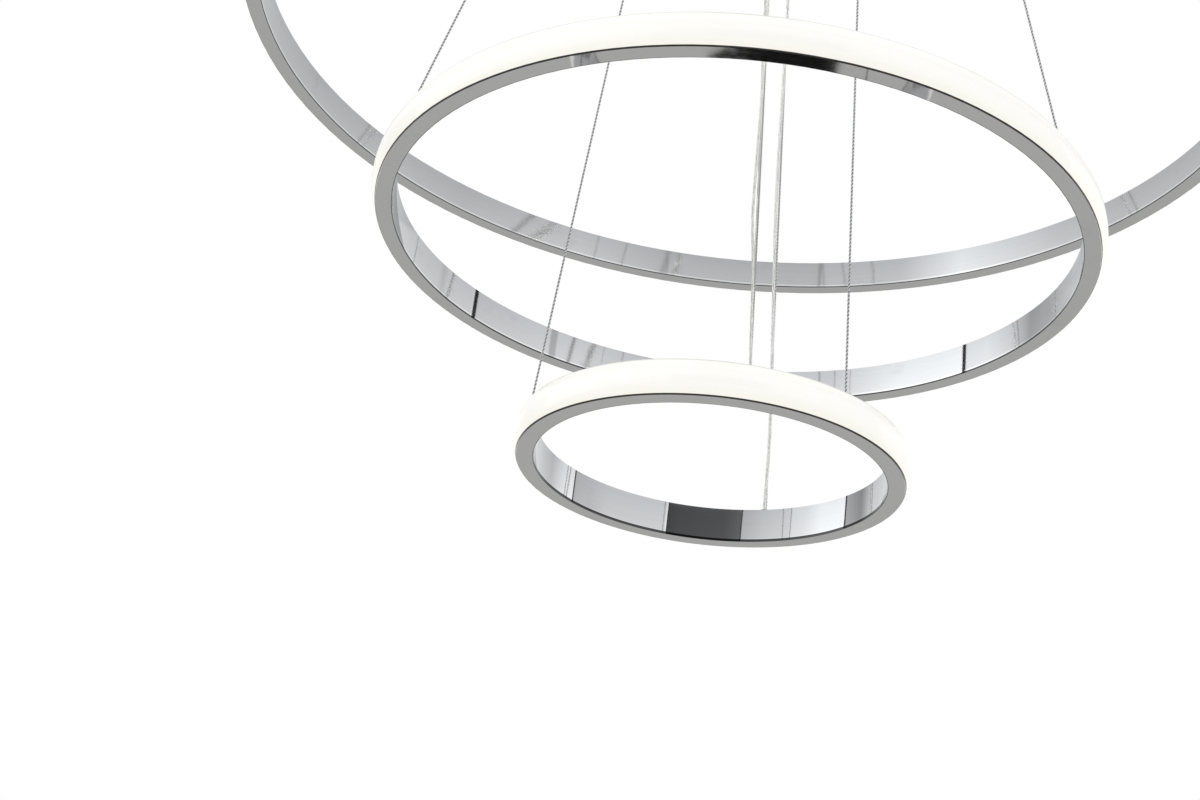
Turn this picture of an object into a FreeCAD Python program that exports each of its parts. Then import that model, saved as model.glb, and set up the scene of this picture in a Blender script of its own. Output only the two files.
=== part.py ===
"""Three-ring LED chandelier on steel wires under a round ceiling canopy.

The origin is the middle of the mounting bracket's top face, flat on the ceiling, with +Z up.
The rings hang concentrically on the Z axis, each from three wires at 120 degrees.  Every wire ends
above in a wire gripper screwed into the canopy and below in a ball stop under the ring's top flange.
A thin clear power cable runs beside the far wire of each ring.  Lengths are in millimetres.
"""
import FreeCAD, Part
import math
import os

import Sketcher
from FreeCAD import Placement, Rotation, Vector

# ---------------------------------------------------------------- driving dimensions
DIMENSIONS = {
    # ceiling canopy: a spun cup, open against the ceiling
    "canopy_radius": 100.0,
    "canopy_height": 45.0,
    "canopy_wall": 1.2,
    # mounting bracket: a flat strap with both ends turned down
    "bracket_width": 28.0,
    "bracket_plate": 1.5,
    "bracket_tab_gap": 1.5,
    "bracket_tab_drop": 20.0,
    "slot_spacing": 150.0,
    "slot_length": 15.0,
    "slot_width": 5.0,
    # screws
    "screw_clearance": 0.05,
    "side_screw_radius": 1.95,
    "side_screw_reach": 8.0,
    "side_screw_head_radius": 4.0,
    "side_screw_head": 2.5,
    "side_screw_drop": 12.0,
    "driver_screw_radius": 1.45,
    "driver_screw_head_radius": 2.8,
    "driver_screw_head": 2.0,
    "driver_screw_inset": 8.0,
    "earth_screw_radius": 1.9,
    "earth_screw_head_radius": 3.5,
    "earth_screw_head": 2.2,
    "earth_screw_inset": 10.5,
    "drive_socket_radius": 1.2,
    "drive_socket_depth": 1.2,
    # driver: an open tray under the strap, closed by a lid with an inner lip
    "driver_length": 100.0,
    "driver_width": 42.0,
    "driver_depth": 22.0,
    "driver_wall": 1.6,
    "driver_base": 2.0,
    "driver_offset": 10.0,
    "lid_plate": 1.6,
    "lid_lip": 2.0,
    "lid_clearance": 0.1,
    "board_plate": 1.6,
    "board_gap": 1.0,
    "standoff_height": 4.0,
    "standoff_radius": 2.5,
    "standoff_inset": 6.0,
    "transformer_length": 28.0,
    "transformer_width": 24.0,
    "transformer_height": 10.0,
    "transformer_offset": -22.0,
    "capacitor_radius": 5.0,
    "capacitor_height": 11.0,
    "capacitor_offset": 26.0,
    "output_block_length": 30.0,
    "output_block_width": 6.0,
    "output_block_height": 8.0,
    "output_block_inset": 4.0,
    # supply terminal block under the strap
    "terminal_length": 28.0,
    "terminal_width": 10.0,
    "terminal_height": 13.5,
    "terminal_offset": -53.0,
    "terminal_pitch": 9.0,
    "terminal_entry_radius": 1.6,
    "terminal_screw_radius": 1.8,
    "terminal_screw_reach": 3.0,
    # glands in the canopy's underside
    "gland_circle_radius": 31.0,
    # wire gripper: barrel, screwed cap, spring and split plunger
    "wire_radius": 0.6,
    "wire_tail": 9.0,
    "wire_kink_drop": 20.0,
    "wire_kink_radius": 6.0,
    "barrel_radius": 4.0,
    "barrel_drop": 8.0,
    "stub_radius": 2.5,
    "stub_rise": 7.0,
    "stub_clearance": 0.1,
    "wire_bore_radius": 0.9,
    "cavity_radius": 2.6,
    "cavity_roof_drop": 2.0,
    "spigot_radius": 3.3,
    "spigot_length": 2.0,
    "spigot_clearance": 0.05,
    "cap_length": 6.0,
    "cap_mouth_radius": 1.75,
    "cap_mouth_length": 1.0,
    "plunger_clearance": 0.08,
    "plunger_bore_radius": 0.68,
    "collet_rise": 1.5,
    "nozzle_reach": 3.5,
    "finger_flange_radius": 2.6,
    "finger_flange": 1.0,
    "slit_width": 0.3,
    "slit_floor": 1.0,
    "spring_radius": 2.3,
    "spring_wall": 0.5,
    "spring_gap": 0.05,
    "nut_across_flats": 8.0,
    "nut_height": 3.0,
    "nut_clearance": 0.05,
    # cable gland
    "gland_flange_radius": 3.2,
    "gland_flange": 4.0,
    "gland_stem_radius": 2.2,
    "gland_stem_rise": 5.0,
    "gland_nut_radius": 3.5,
    "gland_nut_height": 2.5,
    "gland_clearance": 0.05,
    # power cables and their leads inside the canopy
    "cable_radius": 0.95,
    "cable_clearance": 0.1,
    "cable_tail": 8.0,
    "cable_kink_drop": 14.0,
    "cable_end_drop": 1.5,
    "cable_inset": 7.0,
    "lead_bend_radius": 7.0,
    "lead_drop": 14.0,
    "lead_hole_clearance": 0.3,
    # rings: rim, drop of the bottom face, and where the far wire and the cable hang
    "small_radius": 103.0,
    "small_drop": 860.0,
    "small_azimuth": 66.0,
    "small_canopy_azimuth": 86.5,
    "small_canopy_radius": 44.5,
    "small_gland_azimuth": 84.0,
    "medium_radius": 200.0,
    "medium_drop": 725.0,
    "medium_azimuth": 80.5,
    "medium_canopy_azimuth": 103.7,
    "medium_canopy_radius": 40.0,
    "medium_gland_azimuth": 98.0,
    "large_radius": 300.0,
    "large_drop": 590.0,
    "large_azimuth": 83.0,
    "large_canopy_azimuth": 100.1,
    "large_canopy_radius": 50.0,
    "large_gland_azimuth": 118.0,
    "channel_width": 9.0,
    "channel_height": 19.5,
    "channel_wall": 1.0,
    # diffuser: an outward bow with two legs that clip inside the channel's mouth
    "diffuser_gap": 0.15,
    "diffuser_bulge": 3.4,
    "diffuser_wall": 1.2,
    "diffuser_leg": 1.0,
    "diffuser_leg_clearance": 0.05,
    # LED strip on the channel's inner wall
    "strip_seat": 0.1,
    "strip_plate": 0.25,
    "strip_width": 8.0,
    "chip_length": 3.5,
    "chip_width": 2.8,
    "chip_height": 0.8,
    "chip_seat": 0.02,
    "chip_pitch": 33.3,
    # wire anchor in the ring's top flange: bush above, ball stop below
    "wire_inset": 3.4,
    "bush_flange_radius": 3.3,
    "bush_flange": 0.5,
    "bush_shank_radius": 2.6,
    "bush_shank_drop": 1.6,
    "bush_clearance": 0.05,
    "bush_bore_bottom": 1.3,
    "bush_bore_top": 2.3,
    "stop_radius": 1.6,
    "stop_seat_gap": 0.05,
    "stop_hole_clearance": 0.05,
    "entry_inset": 6.7,
    "entry_flange_radius": 2.2,
    "entry_shank_radius": 1.6,
}

RINGS = ("small", "medium", "large")
SIDES = {"left": 120.0, "right": 240.0, "far": 0.0}   # turn of each wire from the far one

# Free points of each power cable: share of the way down from below the gland to the ring, then
# how far the cable lies inward of and sideways from the straight line there, in millimetres.
CABLE_SAG = {
    "small": (
        (0.031, 0.3, -0.5),
        (0.092, 0.7, -1.2),
        (0.160, 1.0, -1.5),
        (0.235, 1.3, -1.6),
        (0.310, 1.5, -1.5),
        (0.385, 1.7, -1.3),
        (0.460, 1.8, -0.9),
        (0.535, 1.8, -0.3),
        (0.605, 1.8, 0.3),
        (0.680, 1.7, -0.8),
        (0.750, 1.5, -1.5),
        (0.810, 1.3, -0.6),
        (0.865, 1.0, 0.4),
        (0.915, 0.7, 1.4),
        (0.955, 0.4, 1.3),
        (0.980, 0.2, 0.5),
    ),
    "medium": (
        (0.036, 0.3, -0.6),
        (0.105, 0.6, -1.4),
        (0.190, 0.9, -2.0),
        (0.280, 1.2, -2.4),
        (0.370, 1.4, -2.6),
        (0.460, 1.5, -2.6),
        (0.550, 1.6, -2.5),
        (0.640, 1.6, -2.5),
        (0.725, 1.5, -2.9),
        (0.795, 1.3, -4.0),
        (0.845, 1.1, -4.7),
        (0.890, 0.9, -2.2),
        (0.930, 0.6, -1.4),
        (0.965, 0.3, -0.9),
        (0.985, 0.1, -0.3),
    ),
    "large": (
        (0.041, 0.3, -0.8),
        (0.115, 0.7, -1.5),
        (0.210, 1.0, -1.1),
        (0.310, 1.3, -0.2),
        (0.410, 1.5, 0.3),
        (0.510, 1.6, -0.2),
        (0.610, 1.6, -0.5),
        (0.710, 1.4, -0.6),
        (0.800, 1.1, -0.3),
        (0.870, 0.8, 0.1),
        (0.925, 0.5, 0.3),
        (0.965, 0.2, 0.2),
    ),
}

doc = FreeCAD.newDocument("RingChandelier")
sheet = doc.addObject("Spreadsheet::Sheet", "Dims")
for row, (alias, size) in enumerate(DIMENSIONS.items(), start=1):
    sheet.set(f"A{row}", alias)
    sheet.set(f"B{row}", str(size))
    sheet.setAlias(f"B{row}", alias)
doc.recompute()

UP = Vector(0, 0, 1)
NODES = []


def dim(expression):
    """Value of an expression over the sheet, as a plain number."""
    value = sheet.evalExpression(str(expression))
    return float(getattr(value, "Value", value))


# ---------------------------------------------------------------- derived expressions
CANOPY_BOTTOM = "(-Dims.canopy_height)"
PLATE_TOP = "(Dims.canopy_wall - Dims.canopy_height)"
CANOPY_INNER = "(Dims.canopy_radius - Dims.canopy_wall)"
STRAP_UNDER = "(-Dims.bracket_plate)"
TAB_OUTER = f"({CANOPY_INNER} - Dims.bracket_tab_gap)"
TAB_INNER = f"({TAB_OUTER} - Dims.bracket_plate)"
EARTH_SCREW_OFFSET = "(Dims.canopy_radius - Dims.earth_screw_inset)"

DRIVER_UNDER = f"({STRAP_UNDER} - Dims.driver_depth)"
TRAY_FLOOR = f"({STRAP_UNDER} - Dims.driver_base)"
DRIVER_SCREW_OFFSET = "(Dims.driver_length / 2 - Dims.driver_screw_inset)"
TRAY_LENGTH = "(Dims.driver_length - 2 * Dims.driver_wall)"
TRAY_WIDTH = "(Dims.driver_width - 2 * Dims.driver_wall)"
BOARD_TOP = f"({TRAY_FLOOR} - Dims.standoff_height)"
BOARD_UNDER = f"({BOARD_TOP} - Dims.board_plate)"
BOARD_LENGTH = f"({TRAY_LENGTH} - 2 * Dims.board_gap)"
BOARD_WIDTH = f"({TRAY_WIDTH} - 2 * Dims.board_gap)"
OUTPUT_FACE = f"({BOARD_WIDTH} / 2 - Dims.output_block_inset)"

# heights inside the gripper, down from the canopy's underside
CAP_BOTTOM = "(-Dims.barrel_drop - Dims.cap_length)"
SPIGOT_TOP = "(Dims.spigot_length - Dims.barrel_drop)"
MOUTH_TOP = f"({CAP_BOTTOM} + Dims.cap_mouth_length)"
COLLET_TOP = "(Dims.collet_rise - Dims.barrel_drop)"
NOZZLE_BOTTOM = f"({CAP_BOTTOM} - Dims.nozzle_reach)"

# heights at the wire anchor, up from the ring's top face
SEAT_RISE = "sqrt(Dims.stop_radius ^ 2 - Dims.bush_bore_bottom ^ 2)"
STOP_CENTRE = f"(-Dims.bush_shank_drop - {SEAT_RISE} - Dims.stop_seat_gap)"

CHANNEL_DEPTH = "(Dims.channel_width - Dims.channel_wall)"


def ring(size, name):
    """Reference to one ring's own cell."""
    return f"Dims.{size}_{name}"


def ring_top(size):
    """Height of a ring's top face."""
    return f"(Dims.channel_height - {ring(size, 'drop')})"


def polar(radius, angle):
    """Expressions of the X and Y of a point on a circle round the Z axis."""
    return f"({radius}) * cos({angle})", f"({radius}) * sin({angle})"


# ---------------------------------------------------------------- building helpers
def keep(piece, label):
    """Name a finished sub-part and add it to the nodes."""
    piece.Label = label
    NODES.append(piece)
    return piece


def place(piece, at=("0", "0", "0"), angle=None):
    """Bind a piece's position, and its turn about Z, to the sheet."""
    if angle is not None:
        piece.Placement = Placement(Vector(), Rotation(UP, 10))
        piece.setExpression("Placement.Rotation.Angle", angle)
    for axis, value in zip("xyz", at):
        piece.setExpression(f"Placement.Base.{axis}", value)
    return piece


def primitive(kind, name, sizes, at=("0", "0", "0"), angle=None):
    """A Part primitive whose sizes and place are bound to the sheet."""
    piece = doc.addObject(f"Part::{kind}", name)
    for prop, value in sizes.items():
        piece.setExpression(prop, value)
    return place(piece, at, angle)


def box(name, length, width, height, centre, bottom):
    """A box from the middle of its base."""
    corner = (f"{centre[0]} - ({length}) / 2", f"{centre[1]} - ({width}) / 2", bottom)
    return primitive("Box", name, {"Length": length, "Width": width, "Height": height}, corner)


def cylinder(name, radius, height, centre, bottom):
    """An upright cylinder."""
    return primitive("Cylinder", name, {"Radius": radius, "Height": height}, (*centre, bottom))


def lying_cylinder(name, radius, length, start, axis):
    """A cylinder lying along the given axis from its start."""
    piece = primitive("Cylinder", name, {"Radius": radius, "Height": length})
    piece.Placement = Placement(Vector(), Rotation(UP, axis))
    return place(piece, start)


def fuse(name, pieces):
    """Union of several pieces."""
    union = doc.addObject("Part::MultiFuse", name)
    union.Shapes = pieces
    return union


def cut(name, base, tools):
    """A base piece less one or more tools."""
    less = doc.addObject("Part::Cut", name)
    less.Base = base
    less.Tool = tools[0] if len(tools) == 1 else fuse(f"{name}_tools", tools)
    return less


def group(name, pieces):
    """Separate solids kept in one node."""
    several = doc.addObject("Part::Compound", name)
    several.Links = pieces
    return several


def copies(name, pattern, spots):
    """The same piece at several spots, each a position and a turn about Z."""
    links = []
    for number, (at, angle) in enumerate(spots, start=1):
        link = doc.addObject("App::Link", f"{name}_{number}")
        link.LinkedObject = pattern
        links.append(place(link, at, angle))
    return group(name, links)


def origin_plane(body, role):
    """One of a body's own origin planes."""
    return next(item for item in body.Origin.OriginFeatures if item.Role == role)


def new_sketch(body, name, role, offset=None):
    """An empty sketch on one of a body's origin planes, or parallel to it."""
    sketch = body.newObject("Sketcher::SketchObject", name)
    sketch.AttachmentSupport = [(origin_plane(body, role), "")]
    sketch.MapMode = "FlatFace"
    if offset is not None:
        sketch.setExpression("AttachmentOffset.Base.z", offset)
    return sketch


def pin_point(sketch, item, vertex, x, y):
    """Fix one point of a sketch from its origin by two bound distances."""
    for kind, value in (("DistanceX", x), ("DistanceY", y)):
        index = sketch.addConstraint(
            Sketcher.Constraint(kind, -1, 1, item, vertex, dim(value)))
        sketch.setExpression(f"Constraints[{index}]", value)


def add_circle(sketch, x, y, radius):
    """A circle with its centre and radius bound."""
    circle = Part.Circle(Vector(dim(x), dim(y), 0), UP, dim(radius))
    item = sketch.addGeometry(circle, False)
    index = sketch.addConstraint(Sketcher.Constraint("Radius", item, dim(radius)))
    sketch.setExpression(f"Constraints[{index}]", radius)
    pin_point(sketch, item, 3, x, y)


def add_outline(sketch, points, bows=None):
    """A closed outline through bound points.

    bows maps the index of a side to how far it bows to the right of its direction, or to the
    left where that is negative.
    """
    bows = bows or {}
    corners = [Vector(dim(x), dim(y), 0) for x, y in points]
    ends = []
    for index, start in enumerate(corners):
        end = corners[(index + 1) % len(corners)]
        if index not in bows:
            item = sketch.addGeometry(Part.LineSegment(start, end), False)
            ends.append((item, 1, 2))
            continue
        rise = dim(bows[index])
        half = start.distanceToPoint(end) / 2
        radius = (half ** 2 + rise ** 2) / (2 * abs(rise))
        along = (end - start).normalize()
        outward = Vector(along.y, -along.x, 0) * math.copysign(1, rise)
        centre = (start + end) / 2 + outward * (abs(rise) - radius)
        first, last = (start, end) if rise > 0 else (end, start)
        angles = [math.atan2(point.y - centre.y, point.x - centre.x) for point in (first, last)]
        arc = Part.ArcOfCircle(Part.Circle(centre, UP, radius), *angles)
        item = sketch.addGeometry(arc, False)
        ends.append((item, 1, 2) if rise > 0 else (item, 2, 1))
        chord = (f"(({points[index][0]} - ({points[(index + 1) % len(points)][0]})) ^ 2"
                 f" + ({points[index][1]} - ({points[(index + 1) % len(points)][1]})) ^ 2)")
        value = f"({chord} / 4 + ({bows[index]}) ^ 2) / (2 * abs({bows[index]}))"
        number = sketch.addConstraint(Sketcher.Constraint("Radius", item, radius))
        sketch.setExpression(f"Constraints[{number}]", value)
    for index, (item, _, tail) in enumerate(ends):
        following, head, _ = ends[(index + 1) % len(ends)]
        sketch.addConstraint(Sketcher.Constraint("Coincident", item, tail, following, head))
    for (item, head, _), (x, y) in zip(ends, points):
        pin_point(sketch, item, head, x, y)


def turned_body(name, points, bows=None):
    """A body turned about Z from an outline in the XZ plane."""
    body = doc.addObject("PartDesign::Body", name)
    sketch = new_sketch(body, f"{name}_outline", "XZ_Plane")
    add_outline(sketch, points, bows)
    turned = body.newObject("PartDesign::Revolution", f"{name}_turned")
    turned.Profile = sketch
    turned.ReferenceAxis = (sketch, ["V_Axis"])
    turned.Angle = 360
    doc.recompute()
    return body


def pocket(body, name, sketch, length=None, symmetric=False):
    """Cut a sketch into a body and make sure that it removed something."""
    before = body.Shape.Volume
    feature = body.newObject("PartDesign::Pocket", name)
    feature.Profile = sketch
    if length is None:
        feature.Type = "ThroughAll"
    else:
        feature.setExpression("Length", length)
    if symmetric:
        feature.SideType = "Symmetric"
    doc.recompute()
    removed = before - body.Shape.Volume
    if removed <= 0:
        raise ValueError(f"{name} removed nothing")
    print(f"{name}: removed {removed:.2f} mm3")
    return feature


def tube(name, points, radii, radius):
    """A round solid along straight runs joined by tangent arcs, one radius per inner point."""
    edges = []
    last = points[0]
    for before, point, after, bend in zip(points, points[1:], points[2:], radii):
        back = (before - point).normalize()
        ahead = (after - point).normalize()
        half_turn = (math.pi - back.getAngle(ahead)) / 2
        setback = bend * math.tan(half_turn)
        start = point + back * setback
        end = point + ahead * setback
        inside = (back + ahead).normalize()
        middle = point + inside * (bend / math.cos(half_turn) - bend)
        edges.append(Part.LineSegment(last, start).toShape())
        edges.append(Part.Arc(start, middle, end).toShape())
        last = end
    edges.append(Part.LineSegment(last, points[-1]).toShape())
    path = Part.Wire(edges)
    section = Part.Wire([Part.Circle(points[0], points[1] - points[0], radius).toShape()])
    solid = path.makePipeShell([section], True, True)
    expected = math.pi * radius ** 2 * path.Length
    print(f"{name}: {path.Length:.1f} mm, radii {', '.join(f'{bend:.0f}' for bend in radii)}, "
          f"volume {solid.Volume:.1f} of {expected:.1f}")
    if abs(solid.Volume - expected) > 0.001 * expected:
        raise ValueError(f"{name} has the wrong volume")
    return solid


def free_radii(points):
    """Largest arc at each inner point that its two runs allow."""
    radii = []
    for before, point, after in zip(points, points[1:], points[2:]):
        shorter = min(point.distanceToPoint(before), point.distanceToPoint(after))
        half_turn = (math.pi - (before - point).getAngle(after - point)) / 2
        radii.append(0.45 * shorter / math.tan(half_turn))
    return radii


def computed(name, shape, turn=0.0):
    """A sub-part whose shape comes straight from the sheet's values."""
    piece = doc.addObject("Part::Feature", name)
    piece.Shape = shape
    piece.Placement = Placement(Vector(), Rotation(UP, turn))
    return piece


# ---------------------------------------------------------------- mounting bracket
bracket = doc.addObject("PartDesign::Body", "bracket")
strap_sketch = new_sketch(bracket, "bracket_strap_outline", "XZ_Plane")
add_outline(strap_sketch, [
    (f"-{TAB_OUTER}", "0"),
    (f"-{TAB_OUTER}", "-Dims.bracket_tab_drop"),
    (f"-{TAB_INNER}", "-Dims.bracket_tab_drop"),
    (f"-{TAB_INNER}", STRAP_UNDER),
    (TAB_INNER, STRAP_UNDER),
    (TAB_INNER, "-Dims.bracket_tab_drop"),
    (TAB_OUTER, "-Dims.bracket_tab_drop"),
    (TAB_OUTER, "0"),
])
strap = bracket.newObject("PartDesign::Pad", "bracket_strap")
strap.Profile = strap_sketch
strap.setExpression("Length", "Dims.bracket_width")
strap.SideType = "Symmetric"
doc.recompute()

slot_sketch = new_sketch(bracket, "bracket_slot_outline", "XY_Plane")
slot_ends = new_sketch(bracket, "bracket_slot_end_outline", "XY_Plane")
for side in ("-", ""):
    middle = f"({side}Dims.slot_spacing / 2)"
    half = "((Dims.slot_length - Dims.slot_width) / 2)"
    add_outline(slot_sketch, [
        (f"{middle} - {half}", "-Dims.slot_width / 2"),
        (f"{middle} + {half}", "-Dims.slot_width / 2"),
        (f"{middle} + {half}", "Dims.slot_width / 2"),
        (f"{middle} - {half}", "Dims.slot_width / 2"),
    ])
    for end in ("-", "+"):
        add_circle(slot_ends, f"{middle} {end} {half}", "0", "Dims.slot_width / 2")
pocket(bracket, "bracket_slots", slot_sketch)
pocket(bracket, "bracket_slot_ends", slot_ends)

strap_holes = new_sketch(bracket, "bracket_screw_outline", "XY_Plane")
for side in ("-", "+"):
    add_circle(strap_holes, f"Dims.driver_offset {side} {DRIVER_SCREW_OFFSET}", "0",
               "Dims.driver_screw_radius + Dims.screw_clearance")
add_circle(strap_holes, f"-{EARTH_SCREW_OFFSET}", "0",
           "Dims.earth_screw_radius + Dims.screw_clearance")
pocket(bracket, "bracket_screw_holes", strap_holes)

tab_holes = new_sketch(bracket, "bracket_tab_outline", "YZ_Plane")
add_circle(tab_holes, "0", "-Dims.side_screw_drop",
           "Dims.side_screw_radius + Dims.screw_clearance")
pocket(bracket, "bracket_tab_holes", tab_holes, symmetric=True)
keep(bracket, "mounting_bracket")

# ---------------------------------------------------------------- canopy cover
cover = turned_body("cover", [
    ("0", CANOPY_BOTTOM),
    ("Dims.canopy_radius", CANOPY_BOTTOM),
    ("Dims.canopy_radius", "0"),
    (CANOPY_INNER, "0"),
    (CANOPY_INNER, PLATE_TOP),
    ("0", PLATE_TOP),
])
hanging_holes = new_sketch(cover, "cover_hanging_outline", "XY_Plane")
for size in RINGS:
    for turn in SIDES.values():
        x, y = polar(ring(size, "canopy_radius"), f"{ring(size, 'canopy_azimuth')} + {turn}")
        add_circle(hanging_holes, x, y, "Dims.stub_radius + Dims.stub_clearance")
    x, y = polar("Dims.gland_circle_radius", ring(size, "gland_azimuth"))
    add_circle(hanging_holes, x, y, "Dims.gland_stem_radius + Dims.gland_clearance")
pocket(cover, "cover_hanging_holes", hanging_holes)

side_holes = new_sketch(cover, "cover_side_outline", "YZ_Plane")
add_circle(side_holes, "0", "-Dims.side_screw_drop",
           "Dims.side_screw_radius + Dims.screw_clearance")
pocket(cover, "cover_side_holes", side_holes, symmetric=True)
keep(cover, "canopy_cover")


# ---------------------------------------------------------------- screws of the canopy
def screw(name, radius, reach, head_radius, head):
    """A round-headed screw along Z: the shank rises from the head's top face at z = 0."""
    return turned_body(name, [
        ("0", f"Dims.drive_socket_depth - {head}"),
        ("Dims.drive_socket_radius", f"Dims.drive_socket_depth - {head}"),
        ("Dims.drive_socket_radius", f"-{head}"),
        (f"0.8 * {head_radius}", f"-{head}"),
        (head_radius, f"-0.4 * {head}"),
        (head_radius, "0"),
        (radius, "0"),
        (radius, reach),
        ("0", reach),
    ])


side_screw = screw("side_screw", "Dims.side_screw_radius", "Dims.side_screw_reach",
                   "Dims.side_screw_head_radius", "Dims.side_screw_head")
side_screws = []
for name, side, turn in (("side_screw_left", "-", 90), ("side_screw_right", "", -90)):
    link = doc.addObject("App::Link", name)
    link.LinkedObject = side_screw
    link.Placement = Placement(Vector(), Rotation(Vector(0, 1, 0), turn))
    side_screws.append(place(link, (f"{side}Dims.canopy_radius", "0", "-Dims.side_screw_drop")))
keep(group("side_screw_pair", side_screws), "side_screws")

driver_screw = screw("driver_screw", "Dims.driver_screw_radius", f"-({TRAY_FLOOR})",
                     "Dims.driver_screw_head_radius", "Dims.driver_screw_head")
keep(copies("driver_screw_pair", driver_screw, [
    ((f"Dims.driver_offset {side} {DRIVER_SCREW_OFFSET}", "0", TRAY_FLOOR), None)
    for side in ("-", "+")
]), "driver_screws")

earth_screw = screw("earth_screw_turned", "Dims.earth_screw_radius", "Dims.bracket_plate",
                    "Dims.earth_screw_head_radius", "Dims.earth_screw_head")
place(earth_screw, (f"-{EARTH_SCREW_OFFSET}", "0", STRAP_UNDER))
keep(earth_screw, "earth_screw")

# ---------------------------------------------------------------- driver
case_solid = box("case_solid", "Dims.driver_length", "Dims.driver_width", "Dims.driver_depth",
                 ("Dims.driver_offset", "0"), DRIVER_UNDER)
case_room = box("case_room", TRAY_LENGTH, TRAY_WIDTH, "Dims.driver_depth - Dims.driver_base",
                ("Dims.driver_offset", "0"), DRIVER_UNDER)
case_screw_holes = [
    cylinder(f"case_screw_hole_{number}", "Dims.driver_screw_radius + Dims.screw_clearance",
             "Dims.driver_base", (f"Dims.driver_offset {side} {DRIVER_SCREW_OFFSET}", "0"),
             TRAY_FLOOR)
    for number, side in enumerate(("-", "+"), start=1)
]
lead_holes = []
for size in RINGS:
    gland_x = polar("Dims.gland_circle_radius", ring(size, "gland_azimuth"))[0]
    lead_holes.append(lying_cylinder(
        f"{size}_lead_hole", "Dims.cable_radius + Dims.lead_hole_clearance",
        "3 * Dims.driver_wall",
        (gland_x, "Dims.driver_width / 2 - 2 * Dims.driver_wall", "-Dims.lead_drop"),
        Vector(0, 1, 0)))
case_shell = cut("case_shell", case_solid, [case_room])
case_bored = cut("case_bored", case_shell, case_screw_holes + lead_holes)
standoffs = []
for number, (side_x, side_y) in enumerate((("-", "-"), ("-", "+"), ("+", "-"), ("+", "+")), start=1):
    spot = (f"Dims.driver_offset {side_x} ({BOARD_LENGTH} / 2 - Dims.standoff_inset)",
            f"0 {side_y} ({BOARD_WIDTH} / 2 - Dims.standoff_inset)")
    standoffs.append(cylinder(f"standoff_{number}", "Dims.standoff_radius",
                              "Dims.standoff_height", spot, BOARD_TOP))
keep(fuse("driver_tray", [case_bored, *standoffs]), "driver_case")

lid_plate = box("lid_plate", "Dims.driver_length", "Dims.driver_width", "Dims.lid_plate",
                ("Dims.driver_offset", "0"), f"{DRIVER_UNDER} - Dims.lid_plate")
lip_length = f"({TRAY_LENGTH} - 2 * Dims.lid_clearance)"
lip_width = f"({TRAY_WIDTH} - 2 * Dims.lid_clearance)"
lip_solid = box("lip_solid", lip_length, lip_width, "Dims.lid_lip",
                ("Dims.driver_offset", "0"), DRIVER_UNDER)
lip_room = box("lip_room", f"{lip_length} - 2 * Dims.driver_wall",
               f"{lip_width} - 2 * Dims.driver_wall", "Dims.lid_lip",
               ("Dims.driver_offset", "0"), DRIVER_UNDER)
keep(fuse("driver_cover", [lid_plate, cut("lid_lip_frame", lip_solid, [lip_room])]), "driver_lid")

board = box("board_plate_solid", BOARD_LENGTH, BOARD_WIDTH, "Dims.board_plate",
            ("Dims.driver_offset", "0"), BOARD_UNDER)
transformer = box("transformer", "Dims.transformer_length", "Dims.transformer_width",
                  "Dims.transformer_height",
                  ("(Dims.driver_offset + Dims.transformer_offset)", "0"),
                  f"{BOARD_UNDER} - Dims.transformer_height")
capacitor = cylinder("capacitor", "Dims.capacitor_radius", "Dims.capacitor_height",
                     ("(Dims.driver_offset + Dims.capacitor_offset)", "0"),
                     f"{BOARD_UNDER} - Dims.capacitor_height")
output_block = box("output_block", "Dims.output_block_length", "Dims.output_block_width",
                   "Dims.output_block_height",
                   (polar("Dims.gland_circle_radius", "Dims.medium_gland_azimuth")[0],
                    f"({OUTPUT_FACE} - Dims.output_block_width / 2)"),
                   f"{BOARD_UNDER} - Dims.output_block_height")
keep(group("driver_board_parts", [board, transformer, capacitor, output_block]), "driver_board")

# ---------------------------------------------------------------- supply terminal block
TERMINAL_UNDER = f"({STRAP_UNDER} - Dims.terminal_height)"
terminal_solid = box("terminal_solid", "Dims.terminal_width", "Dims.terminal_length",
                     "Dims.terminal_height", ("Dims.terminal_offset", "0"), TERMINAL_UNDER)
terminal_cuts = []
terminal_screw_spots = []
for number, way in enumerate((-1, 0, 1), start=1):
    across = f"({way} * Dims.terminal_pitch)"
    terminal_cuts.append(lying_cylinder(
        f"terminal_entry_{number}", "Dims.terminal_entry_radius", "Dims.terminal_width",
        ("Dims.terminal_offset - Dims.terminal_width / 2", across,
         f"{TERMINAL_UNDER} + Dims.terminal_height / 2"), Vector(1, 0, 0)))
    terminal_cuts.append(cylinder(
        f"terminal_well_{number}", "Dims.terminal_screw_radius + Dims.screw_clearance",
        "Dims.terminal_height / 2", ("Dims.terminal_offset", across), TERMINAL_UNDER))
    rise = (f"{TERMINAL_UNDER} + Dims.terminal_height / 2 - Dims.terminal_entry_radius"
            " - Dims.terminal_screw_reach")
    terminal_screw_spots.append((("Dims.terminal_offset", across, rise), None))
keep(cut("terminal_bored", terminal_solid, terminal_cuts), "terminal_block")

terminal_slug = cylinder("terminal_slug", "Dims.terminal_screw_radius",
                         "Dims.terminal_screw_reach", ("0", "0"), "0")
terminal_slot = box("terminal_slot", "3 * Dims.terminal_screw_radius",
                    "Dims.terminal_screw_radius / 3", "Dims.terminal_screw_reach / 3",
                    ("0", "0"), "0")
terminal_screw = cut("terminal_screw", terminal_slug, [terminal_slot])
keep(copies("terminal_screw_row", terminal_screw, terminal_screw_spots), "terminal_screws")

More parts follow.
